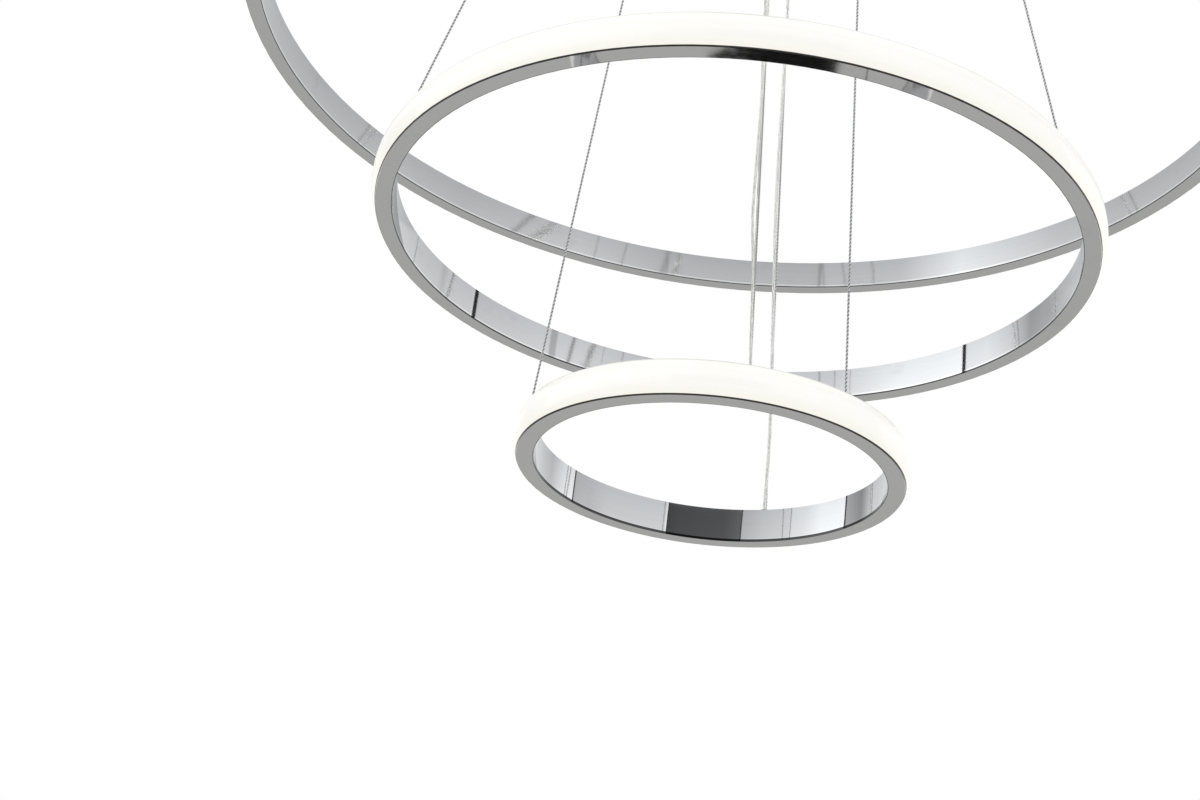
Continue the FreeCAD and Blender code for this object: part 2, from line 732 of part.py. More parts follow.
# ---------------------------------------------------------------- cable glands and inner leads
gland_bore = "(Dims.cable_radius + Dims.cable_clearance)"
gland = turned_body("gland", [
    (gland_bore, "-Dims.gland_flange"),
    ("Dims.gland_flange_radius - 0.8", "-Dims.gland_flange"),
    ("Dims.gland_flange_radius", "0.8 - Dims.gland_flange"),
    ("Dims.gland_flange_radius", "0"),
    ("Dims.gland_stem_radius", "0"),
    ("Dims.gland_stem_radius", "Dims.canopy_wall"),
    ("Dims.gland_nut_radius", "Dims.canopy_wall"),
    ("Dims.gland_nut_radius", "Dims.canopy_wall + Dims.gland_nut_height"),
    ("Dims.gland_stem_radius", "Dims.canopy_wall + Dims.gland_nut_height"),
    ("Dims.gland_stem_radius", "Dims.gland_stem_rise"),
    (gland_bore, "Dims.gland_stem_rise"),
])
keep(copies("gland_row", gland, [
    ((*polar("Dims.gland_circle_radius", ring(size, "gland_azimuth")), CANOPY_BOTTOM), None)
    for size in RINGS
]), "cable_glands")


def gland_point(size, height):
    """A point on a gland's axis, up from the canopy's underside."""
    x, y = polar("Dims.gland_circle_radius", ring(size, "gland_azimuth"))
    return Vector(dim(x), dim(y), dim(f"{CANOPY_BOTTOM} + {height}"))


leads = []
for size in RINGS:
    end = gland_point(size, "Dims.cable_tail")
    corner = Vector(end.x, end.y, -dim("Dims.lead_drop"))
    start = Vector(end.x, dim(OUTPUT_FACE), corner.z)
    leads.append(tube(f"{size}_lead", [start, corner, end], [dim("Dims.lead_bend_radius")],
                      dim("Dims.cable_radius")))
keep(computed("lead_row", Part.makeCompound(leads)), "output_leads")

# ---------------------------------------------------------------- wire grippers
barrel = turned_body("barrel", [
    ("Dims.spigot_radius + Dims.spigot_clearance", "-Dims.barrel_drop"),
    ("Dims.barrel_radius", "-Dims.barrel_drop"),
    ("Dims.barrel_radius", "0"),
    ("Dims.stub_radius", "0"),
    ("Dims.stub_radius", "Dims.stub_rise"),
    ("Dims.wire_bore_radius", "Dims.stub_rise"),
    ("Dims.wire_bore_radius", "-Dims.cavity_roof_drop"),
    ("Dims.cavity_radius", "-Dims.cavity_roof_drop"),
    ("Dims.cavity_radius", SPIGOT_TOP),
    ("Dims.spigot_radius + Dims.spigot_clearance", SPIGOT_TOP),
])
cap = turned_body("cap", [
    ("Dims.cap_mouth_radius", CAP_BOTTOM),
    ("Dims.barrel_radius - 0.8", CAP_BOTTOM),
    ("Dims.barrel_radius", f"{CAP_BOTTOM} + 0.8"),
    ("Dims.barrel_radius", "-Dims.barrel_drop"),
    ("Dims.spigot_radius", "-Dims.barrel_drop"),
    ("Dims.spigot_radius", f"{SPIGOT_TOP} - Dims.spigot_clearance"),
    ("Dims.cavity_radius", f"{SPIGOT_TOP} - Dims.spigot_clearance"),
    ("Dims.cavity_radius", "-Dims.barrel_drop"),
    ("Dims.cap_mouth_radius", MOUTH_TOP),
])
nut_hex = primitive("Prism", "nut_hex", {
    "Circumradius": "Dims.nut_across_flats / 2 / cos(30)",
    "Height": "Dims.nut_height",
})
nut_hex.Polygon = 6
nut_bore = cylinder("nut_bore", "Dims.stub_radius + Dims.nut_clearance", "Dims.nut_height",
                    ("0", "0"), "0")
nut = cut("nut", nut_hex, [nut_bore])
SPRING_ROOM = "(Dims.barrel_drop - Dims.cavity_roof_drop - Dims.collet_rise)"
spring = turned_body("spring", [
    ("Dims.spring_radius - Dims.spring_wall", f"{COLLET_TOP} + Dims.spring_gap"),
    ("Dims.spring_radius", f"{COLLET_TOP} + Dims.spring_gap"),
    ("Dims.spring_radius", f"{COLLET_TOP} + {SPRING_ROOM} - Dims.spring_gap"),
    ("Dims.spring_radius - Dims.spring_wall",
     f"{COLLET_TOP} + {SPRING_ROOM} - Dims.spring_gap"),
])



def gripper_spot(size, turn, height):
    """Place and turn of one gripper on the canopy's underside, at a height."""
    angle = f"{ring(size, 'canopy_azimuth')} + {turn}"
    return (*polar(ring(size, "canopy_radius"), angle), height), angle


gripper_spots = [gripper_spot(size, turn, CANOPY_BOTTOM)
                 for size in RINGS for turn in SIDES.values()]
nut_spots = [gripper_spot(size, turn, PLATE_TOP) for size in RINGS for turn in SIDES.values()]
keep(copies("barrel_ring", barrel, gripper_spots), "gripper_bodies")
keep(copies("cap_ring", cap, gripper_spots), "gripper_caps")
keep(copies("nut_ring", nut, nut_spots), "gripper_nuts")
keep(copies("spring_ring", spring, gripper_spots), "gripper_springs")

COLLET_RADIUS = "(Dims.cavity_radius - Dims.plunger_clearance)"
CONE_END_RADIUS = "(Dims.cap_mouth_radius - Dims.plunger_clearance)"
plunger_solid = turned_body("plunger_solid", [
    ("Dims.plunger_bore_radius", NOZZLE_BOTTOM),
    ("Dims.finger_flange_radius", NOZZLE_BOTTOM),
    ("Dims.finger_flange_radius", f"{NOZZLE_BOTTOM} + Dims.finger_flange"),
    (CONE_END_RADIUS, f"{NOZZLE_BOTTOM} + Dims.finger_flange"),
    (CONE_END_RADIUS, MOUTH_TOP),
    (COLLET_RADIUS, "-Dims.barrel_drop"),
    (COLLET_RADIUS, COLLET_TOP),
    ("Dims.plunger_bore_radius", COLLET_TOP),
])
slit_height = f"({COLLET_TOP} - ({MOUTH_TOP} + Dims.slit_floor))"
slits = [
    box("slit_along", "3 * Dims.cavity_radius", "Dims.slit_width", slit_height, ("0", "0"),
        f"{MOUTH_TOP} + Dims.slit_floor"),
    box("slit_across", "Dims.slit_width", "3 * Dims.cavity_radius", slit_height, ("0", "0"),
        f"{MOUTH_TOP} + Dims.slit_floor"),
]
plunger = cut("plunger", plunger_solid, slits)
for size in RINGS:
    for side, turn in SIDES.items():
        spot = gripper_spot(size, turn, CANOPY_BOTTOM)
        keep(copies(f"{size}_{side}_plunger_set", plunger, [spot]), f"{size}_{side}_plunger")


# ---------------------------------------------------------------- wires and power cables
def anchor_point(size, inset, height):
    """A point on a ring's far radius, inside its rim and up from its top face."""
    x, y = polar(f"{ring(size, 'radius')} - {inset}", ring(size, "azimuth"))
    return Vector(dim(x), dim(y), dim(f"{ring_top(size)} + {height}"))


def kink_point(size):
    """Where a ring's far wire turns from its gripper's axis towards the ring."""
    x, y = polar(ring(size, "canopy_radius"), ring(size, "canopy_azimuth"))
    return Vector(dim(x), dim(y), dim(f"{CANOPY_BOTTOM} - Dims.wire_kink_drop"))


def wire_end(size):
    """Lower end of a ring's far wire, in the middle of its ball stop."""
    return anchor_point(size, "Dims.wire_inset", STOP_CENTRE)


def cable_route(size):
    """Points of a power cable from inside the canopy to inside the ring's channel."""
    top = gland_point(size, "Dims.cable_tail")
    turn_off = gland_point(size, "(-Dims.cable_kink_drop)")
    entry = anchor_point(size, "Dims.cable_inset", "0")
    inward = Vector(-entry.x, -entry.y, 0).normalize()
    sideways = UP.cross(inward)
    points = [top, turn_off]
    for share, sag, sway in CABLE_SAG[size]:
        points.append(turn_off + (entry - turn_off) * share + inward * sag + sideways * sway)
    heading = (entry - points[-1]).normalize()
    points.append(entry + heading * (dim("Dims.cable_end_drop") / -heading.z))
    return points


cable_routes = {size: cable_route(size) for size in RINGS}
for size in RINGS:
    kink = kink_point(size)
    wire_top = kink + UP * dim("Dims.wire_kink_drop + Dims.wire_tail")
    wire_points = [wire_top, kink, wire_end(size)]
    for side, turn in SIDES.items():
        solid = tube(f"{size}_{side}_wire", wire_points, [dim("Dims.wire_kink_radius")],
                     dim("Dims.wire_radius"))
        keep(computed(f"{size}_{side}_wire_solid", solid, turn), f"{size}_{side}_wire")
    cable_points = cable_routes[size]
    solid = tube(f"{size}_power_cable", cable_points, free_radii(cable_points),
                 dim("Dims.cable_radius"))
    keep(computed(f"{size}_power_cable_solid", solid), f"{size}_power_cable")

# ---------------------------------------------------------------- rings
near_bush = turned_body("near_bush", [
    ("Dims.bush_bore_bottom", "-Dims.bush_shank_drop"),
    ("Dims.bush_shank_radius", "-Dims.bush_shank_drop"),
    ("Dims.bush_shank_radius", "0"),
    ("Dims.bush_flange_radius", "0"),
    ("Dims.bush_flange_radius", "Dims.bush_flange"),
    ("Dims.bush_bore_top", "Dims.bush_flange"),
])


def inside_rim(size, inset, angle):
    """Expressions of a point on a ring's top, inset from its rim."""
    return polar(f"{ring(size, 'radius')} - {inset}", angle)


def aim(direction):
    """Rotation that lays the Z axis along a direction."""
    return Rotation(UP, direction)


def ring_frame(size):
    """C-shaped channel, open outward, with the anchor holes in its top flange."""
    outer = ring(size, "radius")
    bottom = f"(-{ring(size, 'drop')})"
    top = ring_top(size)
    inner = f"({outer} - Dims.channel_width)"
    web = f"({outer} - {CHANNEL_DEPTH})"
    body = turned_body(f"{size}_channel", [
        (inner, bottom),
        (outer, bottom),
        (outer, f"{bottom} + Dims.channel_wall"),
        (web, f"{bottom} + Dims.channel_wall"),
        (web, f"{top} - Dims.channel_wall"),
        (outer, f"{top} - Dims.channel_wall"),
        (outer, top),
        (inner, top),
    ])
    wire_holes = new_sketch(body, f"{size}_wire_hole_outline", "XY_Plane", top)
    for turn in SIDES.values():
        x, y = inside_rim(size, "Dims.wire_inset", f"{ring(size, 'azimuth')} + {turn}")
        add_circle(wire_holes, x, y, "Dims.bush_shank_radius + Dims.bush_clearance")
    pocket(body, f"{size}_wire_holes", wire_holes, "Dims.channel_wall")
    cable_hole = new_sketch(body, f"{size}_cable_hole_outline", "XY_Plane", top)
    x, y = inside_rim(size, "Dims.entry_inset", ring(size, "azimuth"))
    add_circle(cable_hole, x, y, "Dims.entry_shank_radius + Dims.bush_clearance")
    pocket(body, f"{size}_cable_hole", cable_hole, "Dims.channel_wall")
    keep(body, f"{size}_frame")


def ring_diffuser(size):
    """Bowed light strip whose two legs clip inside the channel's flanges."""
    outer = ring(size, "radius")
    bottom = f"(-{ring(size, 'drop')})"
    top = ring_top(size)
    back = f"({outer} + Dims.diffuser_gap)"
    leg_end = (f"({outer} - Dims.wire_inset + Dims.bush_shank_radius"
               " + Dims.diffuser_leg_clearance)")
    leg_out = "(Dims.channel_wall + Dims.diffuser_leg_clearance)"
    leg_in = f"({leg_out} + Dims.diffuser_leg)"
    body = turned_body(f"{size}_bow", [
        (back, bottom),
        (back, top),
        (back, f"{top} - {leg_out}"),
        (leg_end, f"{top} - {leg_out}"),
        (leg_end, f"{top} - {leg_in}"),
        (back, f"{top} - {leg_in}"),
        (back, f"{bottom} + {leg_in}"),
        (leg_end, f"{bottom} + {leg_in}"),
        (leg_end, f"{bottom} + {leg_out}"),
        (back, f"{bottom} + {leg_out}"),
    ], {0: "Dims.diffuser_bulge", 5: "(Dims.diffuser_wall - Dims.diffuser_bulge)"})
    keep(body, f"{size}_diffuser")


def ring_strip(size):
    """Flexible LED strip on the inner wall: a band and its row of chips."""
    seat = f"({ring(size, 'radius')} - {CHANNEL_DEPTH} + Dims.strip_seat)"
    face = f"({seat} + Dims.strip_plate)"
    middle = f"(Dims.channel_height / 2 - {ring(size, 'drop')})"
    band = turned_body(f"{size}_band", [
        (seat, f"{middle} - Dims.strip_width / 2"),
        (face, f"{middle} - Dims.strip_width / 2"),
        (face, f"{middle} + Dims.strip_width / 2"),
        (seat, f"{middle} + Dims.strip_width / 2"),
    ])
    chip = box(f"{size}_chip", "Dims.chip_height", "Dims.chip_length", "Dims.chip_width",
               (f"({face} + Dims.chip_seat + Dims.chip_height / 2)", "0"),
               f"{middle} - Dims.chip_width / 2")
    doc.recompute()
    count = int(2 * math.pi * dim(face) / dim("Dims.chip_pitch"))
    chips = copies(f"{size}_chip_row", chip, [])
    links = []
    for number in range(count):
        link = doc.addObject("App::Link", f"{size}_chip_{number}")
        link.LinkedObject = chip
        link.LinkTransform = True
        links.append(place(link, angle=f"360 * {number} / {count}"))
    chips.Links = links
    keep(group(f"{size}_strip", [band, chips]), f"{size}_led_strip")


def ring_anchors(size):
    """Bushes in the top flange and the ball stops of the three wires."""
    top = ring_top(size)
    near = [f"{ring(size, 'azimuth')} + {SIDES[side]}" for side in ("left", "right")]
    keep(copies(f"{size}_bush_pair", near_bush, [
        ((*inside_rim(size, "Dims.wire_inset", turn), top), turn) for turn in near
    ]), f"{size}_near_bushes")

    entry = ("(Dims.wire_inset - Dims.entry_inset)", "0")
    blank = fuse(f"{size}_far_bush_blank", [
        cylinder(f"{size}_far_flange", "Dims.bush_flange_radius", "Dims.bush_flange",
                 ("0", "0"), "0"),
        cylinder(f"{size}_far_shank", "Dims.bush_shank_radius", "Dims.bush_shank_drop",
                 ("0", "0"), "-Dims.bush_shank_drop"),
        cylinder(f"{size}_entry_flange", "Dims.entry_flange_radius", "Dims.bush_flange",
                 entry, "0"),
        cylinder(f"{size}_entry_shank", "Dims.entry_shank_radius", "Dims.channel_wall",
                 entry, "-Dims.channel_wall"),
    ])
    wire_cone = primitive("Cone", f"{size}_wire_cone", {
        "Radius1": "Dims.bush_bore_bottom",
        "Radius2": "Dims.bush_bore_top",
        "Height": "Dims.bush_flange + Dims.bush_shank_drop",
    }, ("0", "0", "-Dims.bush_shank_drop"))
    route = cable_routes[size]
    heading = route[-2] - route[-1]
    to_local = Rotation(UP, -dim(ring(size, "azimuth")))
    local_heading = to_local.multVec(heading).normalize()
    foot = to_local.multVec(route[-1] - anchor_point(size, "Dims.wire_inset", "0"))
    bore_length = dim("4 * Dims.cable_end_drop")
    cable_bore = doc.addObject("Part::Cylinder", f"{size}_cable_bore")
    cable_bore.setExpression("Radius", "Dims.cable_radius + Dims.cable_clearance")
    cable_bore.setExpression("Height", "4 * Dims.cable_end_drop")
    cable_bore.Placement = Placement(foot - local_heading * (bore_length / 4), aim(local_heading))
    far_bush = cut(f"{size}_far_bush_bored", blank, [wire_cone, cable_bore])
    place(far_bush, (*inside_rim(size, "Dims.wire_inset", ring(size, "azimuth")), top),
          ring(size, "azimuth"))
    keep(far_bush, f"{size}_far_bush")

    ball = doc.addObject("Part::Sphere", f"{size}_ball")
    ball.setExpression("Radius", "Dims.stop_radius")
    wire_line = (kink_point(size) - wire_end(size)).normalize()
    hole = doc.addObject("Part::Cylinder", f"{size}_ball_hole")
    hole.setExpression("Radius", "Dims.wire_radius + Dims.stop_hole_clearance")
    hole.setExpression("Height", "2 * Dims.stop_radius")
    local_line = to_local.multVec(wire_line)
    hole.Placement = Placement(local_line * -dim("Dims.stop_hole_clearance"), aim(local_line))
    stop = cut(f"{size}_stop", ball, [hole])
    seat = f"{top} + {STOP_CENTRE}"
    keep(copies(f"{size}_near_stop_pair", stop, [
        ((*inside_rim(size, "Dims.wire_inset", turn), seat), turn) for turn in near
    ]), f"{size}_near_stops")
    far = ring(size, "azimuth")
    keep(copies(f"{size}_far_stop_set", stop, [
        ((*inside_rim(size, "Dims.wire_inset", far), seat), far)
    ]), f"{size}_far_stop")


for size in RINGS:
    ring_frame(size)
    ring_diffuser(size)
    ring_strip(size)
    ring_anchors(size)

# ---------------------------------------------------------------- checks and files
doc.recompute()
for item in doc.Objects:
    if "Invalid" in item.State or "Error" in item.State:
        raise ValueError(f"{item.Name} failed: {item.State}")

shapes = {}
for node in NODES:
    shape = Part.getShape(node)
    if shape.isNull() or not shape.isValid():
        raise ValueError(f"{node.Label} has no valid shape")
    if not shape.Solids:
        raise ValueError(f"{node.Label} holds no solid")
    shapes[node.Label] = shape

os.makedirs("parts", exist_ok=True)
for label, shape in shapes.items():
    shape.exportStep(os.path.join("parts", f"{label}.step"))
    box_of = shape.BoundBox
    print(f"{label}: {len(shape.Solids)} solids, {shape.Volume:.1f} mm3, "
          f"z {box_of.ZMin:.1f} to {box_of.ZMax:.1f}")
print(f"{len(shapes)} nodes")
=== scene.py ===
"""Dressed model of a three-ring LED chandelier on steel wires under a round canopy.

The CAD model gives the frame: its solids keep their places and get finishes here.  The wires, the
clear power cables, their leads and the gripper springs are built as their own, finer meshes.
Lengths are in metres, the ceiling is at z = 0 and the camera stands on the -Y side.
"""
import logging
import math
from dataclasses import dataclass, field
from enum import Enum
from functools import cached_property
from typing import Any, Optional, Sequence, Union

import bpy
import numpy as np
from mathutils import Matrix, Vector


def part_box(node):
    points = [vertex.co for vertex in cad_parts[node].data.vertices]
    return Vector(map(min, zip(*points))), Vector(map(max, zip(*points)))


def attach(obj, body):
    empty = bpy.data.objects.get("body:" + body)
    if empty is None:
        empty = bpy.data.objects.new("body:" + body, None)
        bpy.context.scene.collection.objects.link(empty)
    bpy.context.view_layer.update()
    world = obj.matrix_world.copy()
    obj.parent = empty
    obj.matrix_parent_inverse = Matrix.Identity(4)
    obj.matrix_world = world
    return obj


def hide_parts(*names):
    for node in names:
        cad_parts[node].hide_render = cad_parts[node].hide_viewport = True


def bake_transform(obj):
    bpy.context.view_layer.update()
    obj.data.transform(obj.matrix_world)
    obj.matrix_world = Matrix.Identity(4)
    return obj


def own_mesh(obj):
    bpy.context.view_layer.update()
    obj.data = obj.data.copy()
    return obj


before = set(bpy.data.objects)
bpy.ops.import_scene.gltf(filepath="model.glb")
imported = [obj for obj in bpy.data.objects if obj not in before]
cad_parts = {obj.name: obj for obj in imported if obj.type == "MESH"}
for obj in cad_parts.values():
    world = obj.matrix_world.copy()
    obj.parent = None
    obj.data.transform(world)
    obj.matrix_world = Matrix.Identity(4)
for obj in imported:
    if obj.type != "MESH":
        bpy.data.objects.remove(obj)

REPORT = logging.getLogger("chandelier")

Point = tuple[float, float, float]
Colour = tuple[float, float, float]
Pair = tuple[float, float]
Socketed = Union["Amount", float, int]
Socket = bpy.types.NodeSocket
Material = bpy.types.Material
Piece = bpy.types.Object

BLACK: Colour = (0.0, 0.0, 0.0)
WHITE: Colour = (1.0, 1.0, 1.0)

CHANNEL_HEIGHT = 0.0195
CHANNEL_WIDTH = 0.009
WIRE_TOP = -0.036  # start of the wires, inside their grippers
WIRE_KINK = -0.065  # turn of the wires at the grippers' nozzles
WIRE_INSET = 0.0034  # from a ring's outer edge to its wires
STOP_DROP = 0.002583  # from a channel's top to the wires' ends
HEIGHT_TRAVEL = 0.25  # how far a ring can be raised

SPLINE_STEPS = 24  # points on a route's spline for each of its control points
SAME_PLACE = 1e-9  # points nearer than this are one point
SEAM_LEVEL = 0.02  # brightness in the gap between two panels
SEAM_EDGE = 0.02  # degrees from a panel's edge to the gap's full darkness


# ---- shader building
class Amount:
    """A number inside a material, with the usual operators."""

    def __init__(self, recipe: "Nodes", socket: Socket) -> None:
        """Wraps a node's output socket."""
        self.recipe = recipe
        self.socket = socket

    def _pair(self, operation: str, left: Any, right: Any) -> "Amount":
        """Adds a Math node on two values.

        Args:
            operation: The Math node's operation.
            left: First value or socket.
            right: Second value or socket.

        Returns:
            The result as another Amount.
        """
        node = self.recipe.node("ShaderNodeMath", {"operation": operation}, {0: left, 1: right})
        return Amount(self.recipe, node.outputs[0])

    def __add__(self, other: Socketed) -> "Amount":
        """Sum."""
        return self._pair("ADD", self, other)

    __radd__ = __add__

    def __sub__(self, other: Socketed) -> "Amount":
        """Difference."""
        return self._pair("SUBTRACT", self, other)

    def __rsub__(self, other: Socketed) -> "Amount":
        """Difference, reflected."""
        return self._pair("SUBTRACT", other, self)

    def __mul__(self, other: Socketed) -> "Amount":
        """Product."""
        return self._pair("MULTIPLY", self, other)

    __rmul__ = __mul__

    def __truediv__(self, other: Socketed) -> "Amount":
        """Quotient."""
        return self._pair("DIVIDE", self, other)

    def __rtruediv__(self, other: Socketed) -> "Amount":
        """Quotient, reflected."""
        return self._pair("DIVIDE", other, self)

    def __pow__(self, other: Socketed) -> "Amount":
        """Power."""
        return self._pair("POWER", self, other)

    def __rpow__(self, other: Socketed) -> "Amount":
        """Power, reflected."""
        return self._pair("POWER", other, self)

    def wave(self) -> "Amount":
        """Sine of the value."""
        return self._pair("SINE", self, 0.0)

    def size(self) -> "Amount":
        """Absolute value."""
        return self._pair("ABSOLUTE", self, 0.0)

    def turn_from(self, other: "Amount") -> "Amount":
        """Angle of the direction whose Y is this value and whose X is the other."""
        return self._pair("ARCTAN2", self, other)

    def step(self, low: float, high: float) -> "Amount":
        """Smooth rise from 0 at low to 1 at high.

        Args:
            low: Where the rise starts.
            high: Where it ends; below low for a fall.

        Returns:
            A value from 0 to 1.
        """
        node = self.recipe.node(
            "ShaderNodeMapRange",
            {"interpolation_type": "SMOOTHSTEP"},
            {"Value": self, "From Min": low, "From Max": high},
        )
        return Amount(self.recipe, node.outputs[0])


class Nodes:
    """Node tree of a material or a world."""

    def __init__(self, tree: bpy.types.NodeTree) -> None:
        """Takes the tree that the nodes go into."""
        self.tree = tree

    def node(
        self,
        kind: str,
        settings: Optional[dict[str, Any]] = None,
        sockets: Optional[dict[Any, Any]] = None,
    ) -> bpy.types.Node:
        """Adds a node.

        Args:
            kind: The node's type.
            settings: Its settings, set first.
            sockets: Values or links of its input sockets, by name or number.

        Returns:
            The node.
        """
        added = self.tree.nodes.new(kind)
        for name, value in (settings or {}).items():
            setattr(added, name, value)
        for name, value in (sockets or {}).items():
            self.feed(added.inputs[name], value)
        return added

    def feed(self, socket: Socket, value: Any) -> None:
        """Links a socket, or sets its value.

        Args:
            socket: The input socket.
            value: An Amount, an output socket, a number, a colour or a vector.
        """
        if isinstance(value, Amount):
            value = value.socket
        if isinstance(value, Socket):
            self.tree.links.new(value, socket)
        elif isinstance(value, tuple) and socket.type == "RGBA":
            socket.default_value = (*value, 1.0)
        else:
            socket.default_value = value


class Recipe(Nodes):
    """Node tree of one material, with a Principled shader at its end."""

    def __init__(self, name: str) -> None:
        """Starts an empty material.

        Args:
            name: The material's name.
        """
        self.material = bpy.data.materials.new(name)
        self.material.use_nodes = True
        super().__init__(self.material.node_tree)
        self.shader = self.tree.nodes["Principled BSDF"]

    def finish_with(self, **sockets: Any) -> Material:
        """Feeds the Principled shader.

        Args:
            sockets: Values by socket name, with _ for the spaces.

        Returns:
            The material.
        """
        for name, value in sockets.items():
            self.feed(self.shader.inputs[name.replace("_", " ")], value)
        return self.material

    @cached_property
    def place(self) -> Socket:
        """Position on the piece at rest, in metres."""
        return self.node("ShaderNodeTexCoord").outputs["Object"]

    @cached_property
    def axes(self) -> list[Amount]:
        """X, Y and Z of the position on the piece."""
        split = self.node("ShaderNodeSeparateXYZ", None, {0: self.place})
        return [Amount(self, output) for output in split.outputs]

    def painted(self, name: str) -> Amount:
        """Value that paint_points stored in the piece under this name."""
        carried = self.node("ShaderNodeAttribute", {"attribute_name": name})
        return Amount(self, carried.outputs["Fac"])

    def point(self, x: Socketed, y: Socketed, z: Socketed) -> Socket:
        """A texture point from three values."""
        return self.node("ShaderNodeCombineXYZ", None, {0: x, 1: y, 2: z}).outputs[0]

    def noise(
        self, scale: float, detail: float = 3.0, at: Any = None, rough: float = 0.5
    ) -> Amount:
        """Cloudy noise from 0 to 1.

        Args:
            scale: Features per metre.
            detail: Number of finer layers.
            at: The texture point; the piece's own position without one.
            rough: Share of the finer layers.

        Returns:
            The noise's value.
        """
        node = self.node(
            "ShaderNodeTexNoise",
            None,
            {"Vector": at or self.place, "Scale": scale, "Detail": detail, "Roughness": rough},
        )
        return Amount(self, node.outputs[0])

    def cells(self, scale: float) -> Amount:
        """Distance to the nearest of scattered points."""
        node = self.node("ShaderNodeTexVoronoi", None, {"Vector": self.place, "Scale": scale})
        return Amount(self, node.outputs["Distance"])

    def mixed(self, share: Socketed, first: Any, second: Any) -> Socket:
        """Mix of two colours.

        Args:
            share: Share of the second colour.
            first: First colour or socket.
            second: Second colour or socket.

        Returns:
            The mixed colour's socket.
        """
        node = self.node("ShaderNodeMix", {"data_type": "RGBA"}, {0: share, 6: first, 7: second})
        return node.outputs[2]

    def bump(self, height: Amount, distance: float, strength: float = 1.0) -> Socket:
        """Normal of a relief.

        Args:
            height: The relief, from 0 to 1.
            distance: What a height of 1 stands proud, in metres.
            strength: Share of the relief that shows.

        Returns:
            The normal's socket.
        """
        node = self.node(
            "ShaderNodeBump", None, {"Height": height, "Distance": distance, "Strength": strength}
        )
        return node.outputs[0]


def tone(red: int, green: int, blue: int) -> Colour:
    """Linear colour of three screen values from 0 to 255, by the sRGB curve."""
    shares = (part / 255 for part in (red, green, blue))
    return tuple(s / 12.92 if s <= 0.04045 else ((s + 0.055) / 1.055) ** 2.4 for s in shares)


# ---- finishes
@dataclass(frozen=True)
class RingChrome:
    """Polished chrome of a ring's channel, with streaks of its buffing round the ring.

    The inner wall has a painted shade line at its foot, a painted highlight above it, and painted
    shade that darkens it towards its top.
    """

    name: str
    radius: float
    bottom: float
    # Height of the painted shade line at the foot of the inner wall.
    painted_arris_shade: float
    # Top of the painted highlight line above the wall's foot.
    painted_glint_top: float = 0.0020
    blur: float = 0.0002
    buffing: float = 2600.0
    light: Colour = tone(213, 214, 215)
    # Darker tone: hazier streaks and smudges, and the painted shade on the inner wall.
    darker_tone: Colour = tone(190, 192, 195)
    # Tone of the painted shade line at the inner wall's foot.
    arris_shade_tone: Colour = tone(24, 24, 26)
    # Tone of the painted highlight line.
    bright: Colour = tone(246, 247, 248)

    def made(self) -> Material:
        """Builds the material.

        Returns:
            The material.
        """
        recipe = Recipe(self.name)
        x, y, z = recipe.axes
        reach = (x * x + y * y) ** 0.5
        along = y.turn_from(x) * self.radius
        drawn = recipe.point(along * 22.0, z * self.buffing, reach * self.buffing)
        streaks = recipe.noise(1.0, 4.0, drawn)
        waves = recipe.noise(1.0, 1.0, recipe.point(along * 16.0, z * 20.0, reach * 20.0))
        smudges = recipe.noise(38.0, 4.0, None, 0.6).step(0.56, 0.74)
        dust = recipe.cells(900.0).step(0.16, 0.05) * recipe.noise(60.0).step(0.5, 0.66)
        foot = z - self.bottom
        inner = self.radius - CHANNEL_WIDTH
        wall = reach.step(inner + 2 * self.blur, inner + self.blur)
        # Painted shade in a line at the inner wall's foot, and a painted highlight line just above
        # it.
        painted_arris_shade = foot.step(self.painted_arris_shade + self.blur, self.painted_arris_shade) * wall
        painted_glint = foot.step(self.painted_arris_shade, self.painted_arris_shade + 1.5 * self.blur) * wall
        painted_glint = painted_glint * foot.step(self.painted_glint_top, self.painted_glint_top - 2 * self.blur)
        # Streaks and smudges are the chrome's own; the wall's darkening upwards is painted shade.
        haze_and_painted_wall_shade = streaks.step(0.3, 0.75) * 0.16 + smudges * 0.3 + foot / CHANNEL_HEIGHT * wall * 0.6
        colour = recipe.mixed(haze_and_painted_wall_shade, self.light, self.darker_tone)
        colour = recipe.mixed(painted_glint * 0.7, colour, self.bright)
        colour = recipe.mixed(painted_arris_shade * 0.9, colour, self.arris_shade_tone)
        return recipe.finish_with(
            Base_Color=colour,
            Metallic=1.0,
            Roughness=streaks * 0.025 + smudges * 0.035 + dust * 0.15 + 0.028,
            Normal=recipe.bump(waves + streaks * 0.004, 0.00035, 0.5),
        )


@dataclass(frozen=True)
class SpunChrome:
    """Polished chrome of the canopy cup, with faint spinning lines about its axis."""

    name: str = "spun_chrome"
    light: Colour = tone(212, 213, 215)
    darker_tone: Colour = tone(194, 196, 199)
    spinning: float = 1500.0

    def made(self) -> Material:
        """Builds the material.

        Returns:
            The material.
        """
        recipe = Recipe(self.name)
        x, y, z = recipe.axes
        reach = (x * x + y * y) ** 0.5
        spun = recipe.point(reach * self.spinning, z * self.spinning, y.turn_from(x) * 1.2)
        lines = recipe.noise(1.0, 3.0, spun)
        smudges = recipe.noise(26.0, 4.0, None, 0.6).step(0.54, 0.74)
        dents = recipe.noise(12.0, 1.0)
        return recipe.finish_with(
            Base_Color=recipe.mixed(lines * 0.5 + smudges * 0.35, self.light, self.darker_tone),
            Metallic=1.0,
            Roughness=lines * 0.04 + smudges * 0.08 + 0.035,
            Normal=recipe.bump(dents + lines * 0.006, 0.0004, 0.5),
        )


